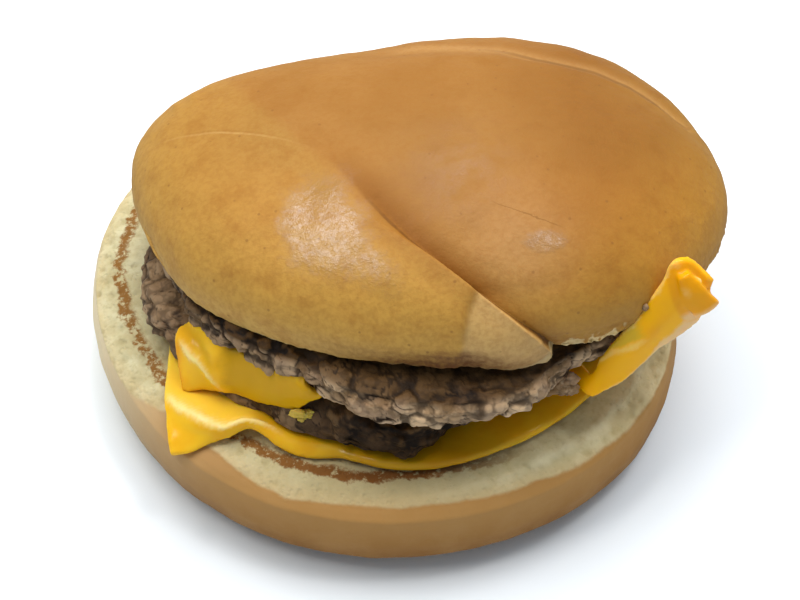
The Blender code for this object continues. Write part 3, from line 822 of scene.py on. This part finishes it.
for item, node, masks_of in ((lower_cheese, "lower_cheese", lower_masks), (upper_cheese, "upper_cheese", upper_masks)):
    points, facing = points_of(item), outward(item)
    relief, masks = masks_of(item, 0.06 * rough(points, 2.2 * mm, 2, 6.0))
    wave = 0.16 * mm * rough(points, 6.5 * mm, 2, 2.0) + 0.035 * mm * rough(points, 1.7 * mm, 2, 8.0)
    set_points(item, points + facing * (wave + 0.45 * mm * relief)[:, None])
    apply_modifier(item, "SMOOTH", factor=0.5, iterations=2)
    keep_values(item, "melt", rough(points, 4.0 * mm, 3, 4.0))
    for name, values in masks.items():
        keep_values(item, name, values)
    clear_selection()
    item.select_set(True)
    bpy.context.view_layer.objects.active = item
    bpy.ops.object.shade_smooth()
    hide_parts(node)
    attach(item, "root")
print("cheese masks:", ", ".join(masks))

# %% [markdown]
# Small bits tell that the food was handled: a few torn scraps of cheese stick to the
# lower patty under the hanging corner, and crumbs of meat hang at the flap's root and
# against the crown.

# %% Scraps and crumb
def blob(name, place, size, seed):
    """A small lump with an uneven skin."""
    item, down, bearing = ball(name, 48, 32)
    points = points_of(item)
    uneven = 1.0 + 0.35 * rough(points + seed, 0.8, 2)
    set_points(item, np.array(place) * mm + points * uneven[:, None] * np.array(size) * mm)
    return item


scraps = join([blob("scrap", place, size, 3.1 * number) for number, (place, size) in enumerate((
    ((-14.4, -33.6, 21.9), (1.4, 0.7, 0.9)), ((-12.9, -33.5, 21.6), (1.1, 0.7, 0.8)),
    ((-12.3, -33.7, 20.5), (0.8, 0.6, 1.1)), ((-13.8, -33.9, 20.9), (0.8, 0.5, 0.6))))], "cheese_scraps")
crumb_of_meat = join([blob("crumb", place, size, 5.0 + 2.3 * number) for number, (place, size) in enumerate((
    ((38.6, -25.3, 38.5), (0.6, 0.4, 0.7)), ((26.4, -31.0, 25.8), (2.0, 1.3, 1.5)),
    ((27.9, -31.4, 25.4), (1.2, 0.9, 1.3)), ((24.4, -31.6, 25.6), (1.7, 1.0, 1.1)),
    ((27.6, -30.9, 27.4), (1.5, 1.0, 1.1))))], "meat_crumbs")
for item in (scraps, crumb_of_meat):
    clear_selection()
    item.select_set(True)
    bpy.context.view_layer.objects.active = item
    bpy.ops.object.shade_smooth()
    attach(item, "root")
# The scraps get painted shade and the pale tint of thin cheese.
keep_values(scraps, "greenish", np.ones(len(scraps.data.vertices)))
keep_values(scraps, "shaded", np.full(len(scraps.data.vertices), 0.8))
keep_values(scraps, "thin", np.full(len(scraps.data.vertices), 0.5))
print("scrap faces:", len(scraps.data.polygons))

# %% [markdown]
# ## The crown
# The top half of the bun has been squeezed: a deep crease runs over its front, with a
# plump lobe on the left that leans over the valley, and a low brim stands behind the
# dome. It is shaped in its own tipped axes, so that the rules for the crease stay
# simple, and turned into place at the end.

# %% Crown: its own axes
CROWN_CENTRE = np.array((6.8, 0.3, 26.6)) * mm
CROWN_TILT = radians(14.0)
CROWN_LOBES = ((2, -0.062, 0.006), (3, -0.032, 0.023), (4, -0.006, -0.023), (5, 0.019, 0.0))
CREASE_START = np.array((-8.5, 23.6)) * mm
CREASE_END = np.array((23.5, -4.6)) * mm
BRIM_X = np.array((-4.0, 0.0, 5.0, 11.0, 17.5, 24.0, 33.0, 39.0, 43.5, 48.0)) * mm
BRIM_SLANT = np.array((43.0, 43.5, 44.0, 43.9, 43.5, 42.0, 40.0, 37.5, 34.6, 30.6)) * mm


def crown_in_place(local):
    """From the crown's tipped axes to the burger's axes."""
    x, y, z = local.T
    return np.column_stack((CROWN_CENTRE[0] + x,
                            CROWN_CENTRE[1] + y * np.cos(CROWN_TILT) + z * np.sin(CROWN_TILT),
                            CROWN_CENTRE[2] - y * np.sin(CROWN_TILT) + z * np.cos(CROWN_TILT)))


def slanted(points):
    """How far up a plane that leans back; folds in the bun are straight lines on it."""
    return 0.81 * points[:, 1] + 0.59 * points[:, 2]


def crease_axes(x, slant):
    """How far along the crease a place lies (0 to 1), and how far to its right."""
    line = CREASE_END - CREASE_START
    length = np.hypot(*line)
    ux, uy = line / length
    dx, dy = x - CREASE_START[0], slant - CREASE_START[1]
    run = (dx * ux + dy * uy) / length
    bow = 0.9 * mm * np.sin(pi * np.clip(run, 0.0, 1.0))
    return run, dy * ux - dx * uy + bow, np.array((-uy, 0.81 * ux, 0.59 * ux))


# %% Crown: the dome, the rim and the cut face
crown, down, bearing = ball("crown_bun", 600, 148)
focus = radians(-72.0)
bearing = turn_between(bearing, focus)
bearing = focus + bearing - 0.35 * np.sin(bearing)
CROWN_WAY = (0.0, 0.60, 0.64, 0.68, 0.71, 0.73, 0.75, 1.0)
ramp = np.clip(down / 0.60, 0.0, 1.0)
dome_share = np.sin(ramp * pi / 2.0)
share = np.where(down < 0.60, dome_share,
                 run_through(down, CROWN_WAY, (1.0, 1.0, 0.998, 0.991, 0.980, 0.968, 0.945, 0.0), 3))
dome = 5.0 * mm + 18.0 * mm * np.sqrt(np.maximum(1.0 - dome_share ** 2.3, 0.0))
wall = run_through(down, CROWN_WAY, (5.0, 5.0, 3.8, 2.2, 0.9, 0.25, 0.0, 0.0), 3) * mm
z = np.where(down < 0.60, dome, wall)
lobe = lobed(bearing, CROWN_LOBES)
rim_x = 51.1 * mm * lobe * np.cos(bearing)
rim_y = 34.1 * mm * lobe * np.sin(bearing)
x, y = share * rim_x, share * rim_y
skin = soft_step(0.735, 0.715, down)

# %% Crown: crease, lobe and brim
points = crown_in_place(np.column_stack((x, y, z)))
set_points(crown, points)
facing = outward(crown)
slant = slanted(points)
run, across, to_right = crease_axes(points[:, 0], slant)
front = soft_step(0.35, 0.15, facing[:, 1]) * (down < 0.85)
grow = soft_step(-0.05, 0.75, run) * front
width = (0.5 + 3.2 * soft_step(0.42, 0.05, run)) * mm
valley = soft_step(-width, 0.5 * width, across) * np.exp(-np.maximum(across, 0.0) / (6.0 * mm))
swell = 0.8 * mm * bell(across, -4.5 * mm, 4.5 * mm)
at_rim = soft_step(0.90, 1.0, share)
depth = grow * (3.3 * mm * valley * (1.0 - 0.35 * at_rim) - swell)
lean = grow * soft_step(0.25, 0.5, run) * 1.3 * mm * bell(across, -1.0 * mm, 1.3 * mm) * skin
beside_fold = points[:, 0] - 11.2 * mm - 0.16 * (slant - 0.5 * mm)
on_lobe = front * soft_step(0.3 * mm, -0.6 * mm, across) * soft_step(4.8 * mm, 3.0 * mm, slant)
facet = on_lobe * soft_step(-0.3 * mm, 0.7 * mm, beside_fold)
fold = on_lobe * bell(beside_fold, 0.0, 0.6 * mm) * soft_step(-3.6 * mm, -2.4 * mm, slant)
depth += 0.45 * mm * facet * soft_step(9.0 * mm, 0.0, beside_fold) + 0.2 * mm * fold
past_line = slant - np.interp(points[:, 0], BRIM_X, BRIM_SLANT)
sharp = soft_step(10.0 * mm, 26.0 * mm, points[:, 0])
toward = facing @ np.array((0.0, -0.59, 0.81))
window = soft_step(-6.0 * mm, 4.0 * mm, points[:, 0]) * soft_step(50.0 * mm, 46.0 * mm, points[:, 0])
window *= soft_step(0.05, 0.35, toward) * (facing[:, 1] > -0.2)
step = soft_step(-0.9 * mm * (1.0 - sharp) - 0.35 * mm, 0.35 * mm, past_line)
brim = window * step * soft_step(2.8 * mm, 0.6 * mm, past_line) * (0.35 + 0.35 * sharp) * mm
points = points - facing * (depth + brim)[:, None] + lean[:, None] * to_right
past = np.minimum(past_edge(points[:, 0], points[:, 1], UPPER_PATTY_CENTRE, upper_patty_radius),
                  past_edge(points[:, 0], points[:, 1], LOWER_PATTY_CENTRE, lower_patty_radius))
seat = STACK_TOP_Z + GAP - STACK_FALL * points[:, 1]
lift = np.maximum(seat - points[:, 2], 0.0) * soft_step(2.4 * mm, 0.8 * mm, past)
points[:, 2] += np.where(down > 0.66, lift, 0.0)
set_points(crown, points)
print("crown faces:", len(crown.data.polygons))

# %% Crown: wrinkles and fine skin
facing = outward(crown)
slow = rough(points, 15.0 * mm, 2, 1.0)
dimples = rough(points, 5.0 * mm, 3, 6.0)
fine = rough(points, 1.3 * mm, 2, 3.0)
torn = rough(points, 1.5 * mm, 3, 9.0)
near_tip = bell(turn_between(bearing, radians(-30.0)), 0.0, radians(30.0))
ragged = soft_step(0.60, 0.66, down) * soft_step(0.80, 0.76, down)
relief = skin * (0.30 * mm * slow + 0.10 * mm * dimples + 0.020 * mm * fine)
torn_rim = bell(points[:, 0], 30.0 * mm, 7.5 * mm) * front
shreds = rough(points, 1.3 * mm, 2, 14.0)
relief += ragged * (0.12 + 0.2 * near_tip) * mm * torn + 0.5 * mm * torn_rim * ragged * shreds
relief += (1.0 - skin) * soft_step(0.76, 0.72, down) * 0.12 * mm * torn
wrinkle_line = 29.6 * mm - 13.0 * (points[:, 0] + 27.0 * mm) ** 2
for nick_x, nick_slant in ((-34.9, 34.6), (-32.0, 35.9)):
    relief += 0.55 * mm * np.exp(-np.hypot(points[:, 0] - nick_x * mm, slant - nick_slant * mm) / (0.6 * mm))
set_points(crown, points + facing * relief[:, None])
bare = torn_rim * soft_step(3.4 * mm, 1.2 * mm, z + 1.6 * mm * shreds)
keep_values(crown, "skin", skin * (1.0 - bare))
# Several of the masks below are painted light and shade for the crust's colour.
shaded = soft_step(-0.3 * mm, 0.6 * mm, across) * soft_step(5.5 * mm, 0.8 * mm, across)
early = np.maximum(grow, 0.8 * front * soft_step(-0.12, 0.22, run))
keep_values(crown, "crease", np.minimum(1.0, 1.25 * early) * shaded * (0.4 + 0.6 * soft_step(0.85, 0.60, run)) * soft_step(1.25, 1.0, run))
keep_values(crown, "lobe_edge", early * soft_step(-4.5 * mm, 0.0, across) * (across < 0.4 * mm) * soft_step(0.08, 0.25, run))
keep_values(crown, "valley_side", np.exp(-((points[:, 0] - 7.0 * mm) / (11.0 * mm)) ** 2 - ((slant - 20.0 * mm) / (10.0 * mm)) ** 2)
            * soft_step(-1.0 * mm, 1.0 * mm, across))
keep_values(crown, "rosy", bell(np.hypot(points[:, 0] - 19.0 * mm, slant - 11.5 * mm), 0.0, 8.5 * mm))
keep_values(crown, "crease_side", across / mm)
keep_values(crown, "crease_strength", early * soft_step(0.10, 0.28, run) * soft_step(1.2, 1.0, run))
keep_values(crown, "brim_side", past_line / mm)
keep_values(crown, "brim_strength", window * sharp)
keep_values(crown, "left_lobe", soft_step(1.0 * mm, -2.0 * mm, across))
keep_values(crown, "top", soft_step(15.0 * mm, 31.0 * mm, slant) * soft_step(-34.0 * mm, -16.0 * mm, points[:, 0]))
keep_values(crown, "right", soft_step(8.0 * mm, 36.0 * mm, points[:, 0]))
length_run = run * np.hypot(*(CREASE_END - CREASE_START))
gloss = np.exp(-((points[:, 0] + 10.2 * mm) / (7.5 * mm)) ** 2 - ((slant - 14.6 * mm) / (8.5 * mm)) ** 2)
keep_values(crown, "gloss", gloss + 0.45 * bell(length_run, 17.0 * mm, 6.0 * mm) * bell(across, -6.5 * mm, 3.5 * mm))
keep_values(crown, "sheen", bell(np.hypot(points[:, 0] - 10.5 * mm, slant - 23.8 * mm), 0.0, 8.0 * mm))
keep_values(crown, "glint", np.exp(-((points[:, 0] - 23.5 * mm) / (4.0 * mm)) ** 2 - ((slant - 12.3 * mm) / (2.2 * mm)) ** 2))
keep_values(crown, "brim", window * soft_step(0.0, 1.0 * mm, past_line) * soft_step(9.0 * mm, 3.0 * mm, past_line))
keep_values(crown, "pale", window * bell(past_line, 0.9 * mm, 0.7 * mm))
keep_values(crown, "wrinkle_side", (slant - wrinkle_line) / mm)
keep_values(crown, "wrinkle", bell(points[:, 0], -26.0 * mm, 9.0 * mm) * front)
keep_values(crown, "facet", facet)
keep_values(crown, "fold", fold)
turned_under = soft_step(0.28, -0.05, facing[:, 2]) * soft_step(0.58, 0.63, down)
keep_values(crown, "toasted", turned_under * bell(points[:, 0], 8.0 * mm, 15.0 * mm) * front)
keep_values(crown, "low", soft_step(22.0 * mm, 6.0 * mm, z) * skin)
keep_values(crown, "rim", soft_step(6.5 * mm, 2.0 * mm, z) * skin * soft_step(12.0 * mm, -12.0 * mm, points[:, 0]))
clear_selection()
crown.select_set(True)
bpy.context.view_layer.objects.active = crown
bpy.ops.object.shade_smooth()
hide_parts("crown")
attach(crown, "root")

# %% [markdown]
# ## Bread finishes
# Crust is brown because it was baked hardest where it stands highest, so the colour is
# led by broad noise and by how low a place lies. Shade in and beside the crease, in the
# brim's fold, along the lobe's edge and fold, at the top, the left end and the right is
# painted into the crown's colour, and so is light on a small facet, on the brim's lip
# and as a pink haze. Crumb is pale, with painted shade in its pores and at the front,
# and the heel's crust is painted darker towards the bottom.

# %% Crown material
crust = Finish("golden_crust")
broad = crust.noise(0.022, 3.0)
mottle = crust.noise(0.0045, 5.0, 0.65)
specks = crust.noise(0.0009, 3.0, 0.6)
colour = crust.mix(broad.step(0.35, 0.68), (0.375, 0.150, 0.020), (0.420, 0.180, 0.030))
colour = crust.mix(crust.read("left_lobe") * 0.6, colour, (0.455, 0.230, 0.038))
colour = crust.mix(crust.read("low") * 0.8, colour, (0.61, 0.335, 0.052))
colour = crust.mix(crust.read("rim") * 0.6, colour, (0.60, 0.37, 0.10))
colour = crust.mix(mottle.step(0.45, 0.72) * 0.4, colour, (0.33, 0.120, 0.008))
# Painted shade: darker towards the top and back of the crown.
colour = crust.mix(crust.read("top"), colour, (0.84, 0.89, 1.0), "MULTIPLY")
# Painted shade, with a browner tone, on the crown's right side.
colour = crust.mix(crust.read("right"), colour, (0.78, 0.71, 0.47), "MULTIPLY")
# Painted shade on the slope beside the crease.
colour = crust.mix(crust.read("valley_side"), colour, (0.84, 0.88, 0.97), "MULTIPLY")
# Painted shade along the lobe's edge at the crease.
colour = crust.mix(crust.read("lobe_edge"), colour, (0.74, 0.68, 0.55), "MULTIPLY")
# Painted reflection: a pale pinkish haze on the right lobe.
colour = crust.mix(crust.read("rosy") * 0.35, colour, (0.48, 0.28, 0.13))
colour = crust.mix(crust.read("brim"), colour, (0.95, 0.90, 0.85), "MULTIPLY")
# Painted light along the lip just past the brim's line.
colour = crust.mix(crust.read("pale") * 0.4, colour, (0.58, 0.33, 0.11))
# Painted light: the small facet by the lobe's tip is made lighter, as if facing the light.
colour = crust.mix(crust.read("facet") * 0.65, colour, (0.64, 0.40, 0.15))
# Painted shade along the small fold on the lobe.
colour = crust.mix(crust.read("fold") * 0.25, colour, (0.22, 0.09, 0.01))
wrinkle = crust.read("wrinkle")
# The wrinkle is a pale line, with a painted shadow line just above it.
colour = crust.mix(crust.hairline(crust.read("wrinkle_side"), 0.22) * wrinkle * 0.35, colour, (0.62, 0.38, 0.13))
colour = crust.mix(crust.hairline(crust.read("wrinkle_side") - 0.35, 0.22) * wrinkle * 0.2, colour, (0.24, 0.10, 0.01))
# Painted shade in the crease's valley.
colour = crust.mix(crust.read("crease") * 0.85, colour, (0.22, 0.072, 0.0))
shade_line = crust.hairline(crust.read("crease_side") - 0.15, 0.35) * crust.read("crease_strength")
colour = crust.mix(shade_line * 0.8, colour, (0.12, 0.040, 0.002))
# Painted shade: a thin dark line in the brim's fold behind the dome.
brim_line = crust.hairline(crust.read("brim_side") - 0.75, 0.35) * crust.read("brim_strength")
colour = crust.mix(brim_line * 0.6, colour, (0.13, 0.05, 0.005))
x, y, z = crust.axes()
# Painted shade: the crown's left end is made a little darker.
colour = crust.mix((0.0 - x).step(0.016, 0.036), colour, (0.89, 0.90, 0.90), "MULTIPLY")
slant = 0.81 * y + 0.59 * z
beside = (slant + 0.36 * x) - 0.0236 + (crust.noise(0.002, 3.0) - 0.5) * 0.0012
hair = crust.hairline(beside * 1000.0, 0.13) * x.step(0.0145, 0.017) * x.step(0.0265, 0.024)
colour = crust.mix(hair * 0.6, colour, (0.20, 0.08, 0.01))
colour = crust.mix(crust.spots(0.0031).step(0.11, 0.04) * 0.5, colour, (0.20, 0.08, 0.015))
colour = crust.mix(specks.step(0.35, 0.70) * 0.3, colour, (0.30, 0.110, 0.010))
crumb_tone = crust.mix(specks.step(0.3, 0.7), (0.56, 0.37, 0.13), (0.72, 0.53, 0.25))
colour = crust.mix(crust.read("skin").step(0.35, 0.65), crumb_tone, colour)
colour = crust.mix(crust.read("toasted") * (0.4 + specks), colour, (0.16, 0.055, 0.010))
wrinkles = crust.noise(0.0016, 4.0, 0.6, 0.6)
grain = crust.noise(0.00045, 2.0)
relief = wrinkles * 0.55 + grain * 0.45
ragged = (crust.noise(0.005, 5.0, 0.75) - 0.5) * 2.0
shiny = (crust.read("gloss") * 1.25 + ragged * 0.6).step(0.30, 0.95) * (x * 1000.0 + 17.6 + ragged * 2.6).step(0.0, 1.2)
shiny = shiny + (crust.read("glint") + ragged * 0.6).step(0.4, 0.8)
soft_shine = crust.read("sheen") * mottle.step(0.3, 0.6) * 0.34
relief = relief * (0.5 + 0.35 * shiny + soft_shine)
colour = crust.mix(shiny, colour, (0.86, 0.88, 0.95), "MULTIPLY")
sparkle = crust.noise(0.0009, 3.0, 0.6).step(0.44, 0.60)
film = shiny * (0.18 + 0.82 * sparkle) * 0.85 + soft_shine * (0.3 + 0.7 * sparkle) * 0.8
crust.set(Base_Color=colour, Roughness=0.66 - 0.40 * shiny - soft_shine, Normal=crust.bump(relief, 0.0003, 0.75),
          Coat_Weight=film, Coat_Roughness=0.30, Coat_IOR=1.5,
          Subsurface_Weight=0.05, Subsurface_Scale=0.0015, Subsurface_Radius=(1.0, 0.45, 0.15),
          Specular_IOR_Level=0.38)
crust.on(crown)

# %% Heel material
loaf = Finish("heel_bread_and_crust")
soft = loaf.noise(0.006, 4.0, 0.6)
fine = loaf.noise(0.0011, 4.0, 0.65)
crumb = loaf.mix(soft.step(0.35, 0.7), (0.57, 0.49, 0.27), (0.70, 0.64, 0.40))
# Painted shade in the pores.
crumb = loaf.mix(loaf.read("pore") * 0.6, crumb, (0.36, 0.29, 0.13))
crumb = loaf.mix(fine.step(0.50, 0.72) * 0.35, crumb, (0.42, 0.34, 0.16))
place = loaf.read("ring_place") + (loaf.noise(0.004, 4.0, 0.65) - 0.5) * 3.0 + (fine - 0.5) * 2.4
hot = 1.0 - ((place / 1.25) * (place / 1.25)).step(0.2, 1.2)
hot = hot * loaf.read("ring_heat") * (fine * 1.5 + soft * 0.6 + 0.14 * loaf.read("front")).step(0.86, 1.10)
damp = place.step(1.2, 4.0)
crumb = loaf.mix(damp * 0.3, crumb, (0.44, 0.39, 0.25))
# Painted shade: the crumb at the front, under the stack, is darker.
crumb = loaf.mix(loaf.read("front") * 0.9, crumb, (0.42, 0.335, 0.17))
crumb = loaf.mix(loaf.read("warm") * (0.2 + 0.5 * soft), crumb, (0.66, 0.44, 0.20))
# Painted highlight on the raised ridge of crumb at the right.
crumb = loaf.mix(loaf.read("ridge") * 0.6, crumb, (0.80, 0.72, 0.48))
# The ring is darker at the front, with painted shade under the stack.
ring_tone = loaf.mix(loaf.read("front"), (0.27, 0.115, 0.022), (0.17, 0.055, 0.008))
crumb = loaf.mix(hot * 0.95, crumb, ring_tone)
# Painted shade: the crust gets darker towards the bottom; it is paler near the cut.
side = loaf.mix(loaf.read("height").step(3.0, 13.0), (0.27, 0.115, 0.025), (0.40, 0.200, 0.055))
side = loaf.mix(soft.step(0.35, 0.75) * 0.45, side, (0.44, 0.24, 0.08))
side = loaf.mix(loaf.read("height").step(10.5, 14.5) * 0.35, side, (0.46, 0.26, 0.09))
side = loaf.mix(loaf.read("floury") * 0.9, side, (0.80, 0.67, 0.43))
colour = loaf.mix((loaf.read("cut") + (fine - 0.5) * 0.5).step(0.15, 0.85), side, crumb)
pits = loaf.spots(0.0009).step(0.0, 0.5)
bumpy = fine * 0.6 + pits * 0.4
strong = 0.12 + loaf.read("cut") * 0.75
loaf.set(Base_Color=colour, Roughness=0.85 - 0.25 * (1.0 - loaf.read("cut")), Specular_IOR_Level=0.12,
         Normal=loaf.bump(bumpy * strong, 0.0006, 0.6), Subsurface_Weight=0.12,
         Subsurface_Scale=0.002, Subsurface_Radius=(1.0, 0.7, 0.4))
loaf.on(heel)

# %% [markdown]
# ## Meat and cheese finishes
# Fried mince is grey-brown and moist, and paler on the lumps that stand out. Shade in
# its cracks and between its grains is painted dark, with a painted highlight on the
# grain tops; the patties also carry painted shade under the crown and painted light low
# on the side. Cheese is smooth and glossy, and light goes a little way into it. Its
# crests carry painted highlights, its hollows, olive parts and shaded strip painted
# shade, and its cut side and thin edges painted light.

# %% Patty material
beef = Finish("ground_beef")
tone = beef.read("tone")
fine = beef.noise(0.0012, 4.0, 0.65)
broad = beef.noise(0.006, 3.0)
colour = beef.mix(tone.step(0.2, 0.8), (0.260, 0.150, 0.065), (0.640, 0.435, 0.250))
colour = beef.mix(fine.step(0.45, 0.75) * 0.5, colour, (0.60, 0.41, 0.24))
colour = beef.mix(broad.step(0.45, 0.70) * 0.4, colour, (0.42, 0.27, 0.18))
# Painted light on the lower part of the side, away from the painted shade.
colour = beef.mix(beef.read("dry") * 0.2, colour, (0.68, 0.47, 0.28))
# Painted shade in the cracks between lumps.
colour = beef.mix(beef.read("crack").step(0.42, 1.0) * (0.3 + broad), colour, (0.030, 0.012, 0.003))
fat = beef.spots(0.0026).step(0.17, 0.08) * broad.step(0.42, 0.55)
colour = beef.mix(fat * 0.5, colour, (0.45, 0.33, 0.20))
granules = 1.0 - beef.spots(0.0013)
relief = granules * 0.25 + fine * 0.45 + beef.noise(0.0004, 3.0) * 0.3
# Painted shade in the hollows between grains, and a painted highlight on the grain tops.
colour = beef.mix(granules.step(0.50, 0.25) * 0.35, colour, (0.035, 0.015, 0.004))
colour = beef.mix(granules.step(0.75, 0.95) * 0.2, colour, (0.55, 0.38, 0.22))
# Painted shade: darker at the top of the upper patty, under the crown, and all round the lower patty.
colour = beef.mix(beef.read("soaked"), colour, (0.165, 0.115, 0.050), "MULTIPLY")
beef.set(Base_Color=colour, Roughness=0.42 + 0.3 * fine, Normal=beef.bump(relief, 0.0005, 0.7),
         Specular_IOR_Level=0.2, Subsurface_Weight=0.0)
for item in (lower_patty, upper_patty, crumb_of_meat):
    beef.on(item)

# %% Cheese material
cheese = Finish("melted_cheese")
melt = cheese.read("melt")
colour = cheese.mix(melt.step(-0.5, 0.6), (0.93, 0.480, 0.010), (0.95, 0.540, 0.018))
# Painted light: the lower corner's top face is made paler, as lit from above.
colour = cheese.mix(cheese.read("pale") * 0.7, colour, (0.97, 0.630, 0.060))
colour = cheese.mix(cheese.read("shaded"), colour, (0.55, 0.52, 0.35), "MULTIPLY")
# Painted shade on the corner's right part, where the melt is also thin over the meat.
colour = cheese.mix(cheese.read("smear") * 0.9, colour, (0.62, 0.33, 0.002))
colour = cheese.mix(cheese.read("edge") * 0.15, colour, (0.60, 0.44, 0.10))
colour = cheese.mix(cheese.read("flap") * 0.9, colour, (0.93, 0.45, 0.0))
# Painted shade in the hollows and folds of the sheet.
colour = cheese.mix(cheese.read("hollow") * 0.85, colour, (0.78, 0.29, 0.0))
# Painted light: the flap's cut side is paler, as lit from the floor below.
colour = cheese.mix(cheese.read("cut_side") * 0.85, colour, (0.86, 0.56, 0.27))
# Painted shade: olive where the cheese lies in deep shade by the patty.
colour = cheese.mix(cheese.read("greenish") * 0.6, colour, (0.55, 0.42, 0.04))
# Paler where the sheet is thin, with painted light on its lit edges.
colour = cheese.mix(cheese.read("thin") * 0.45, colour, (0.93, 0.70, 0.24))
# Painted highlights along the crests of the folds.
colour = cheese.mix(cheese.read("crest") * 0.75, colour, (0.99, 0.80, 0.36))
fine = cheese.noise(0.0022, 3.0)
cheese.set(Base_Color=colour, Roughness=0.17 + 0.12 * fine, Normal=cheese.bump(fine, 0.00025, 0.3),
           Specular_IOR_Level=0.27, Subsurface_Weight=0.3, Subsurface_Scale=0.0015,
           Subsurface_Radius=(1.0, 0.5, 0.03))
for item in (lower_cheese, upper_cheese, scraps):
    cheese.on(item)

# %% [markdown]
# ## Floor and light
# The burger stands on plain white paper under one broad lamp, a little behind it and to
# the left, in a bright room. The room's light is slightly blue, and so are the shadows.

# %% Floor
clear_selection()
bpy.ops.mesh.primitive_plane_add(size=6.0, location=(0.0, 0.0, 0.0))
floor = named("floor")
paper = Finish("white_paper")
paper.set(Base_Color=(0.89, 0.935, 0.97, 1.0), Roughness=0.9, Specular_IOR_Level=0.1)
floor.data.materials.append(paper.material)
floor.visible_glossy = False

# %% Light
world = bpy.context.scene.world or bpy.data.worlds.new("room")
bpy.context.scene.world = world
world.use_nodes = True
world.node_tree.nodes["Background"].inputs["Color"].default_value = (0.76, 0.89, 1.0, 1.0)
world.node_tree.nodes["Background"].inputs["Strength"].default_value = 0.36


def lamp(name, place, aim, size, watts, colour, mirrored):
    clear_selection()
    bpy.ops.object.light_add(type="AREA", location=place)
    item = named(name)
    item.data.shape = "RECTANGLE"
    item.data.size, item.data.size_y = size
    item.data.energy = watts
    item.data.color = colour
    item.rotation_euler = (Vector(aim) - Vector(place)).to_track_quat("-Z", "Y").to_euler()
    item.visible_glossy = mirrored


lamp("window_lamp", (-0.36, 0.13, 0.91), (0.0, 0.0, 0.02), (0.80, 0.19), 5.3, (1.0, 0.96, 0.91), True)
lamp("ceiling_lamp", (0.35, 0.75, 1.35), (0.0, 0.0, 0.0), (1.6, 1.6), 25.0, (0.98, 0.98, 1.0), False)
lamp("back_lamp", (0.11, 0.64, 0.78), (0.0, 0.0, 0.03), (0.35, 0.35), 1.6, (1.0, 0.95, 0.93), True)
lamp("small_lamp", (0.31, 0.09, 0.95), (0.0, 0.0, 0.03), (0.12, 0.12), 0.9, (1.0, 0.97, 0.93), True)
bpy.context.scene.view_settings.view_transform = "Standard"
bpy.context.scene.view_settings.look = "None"
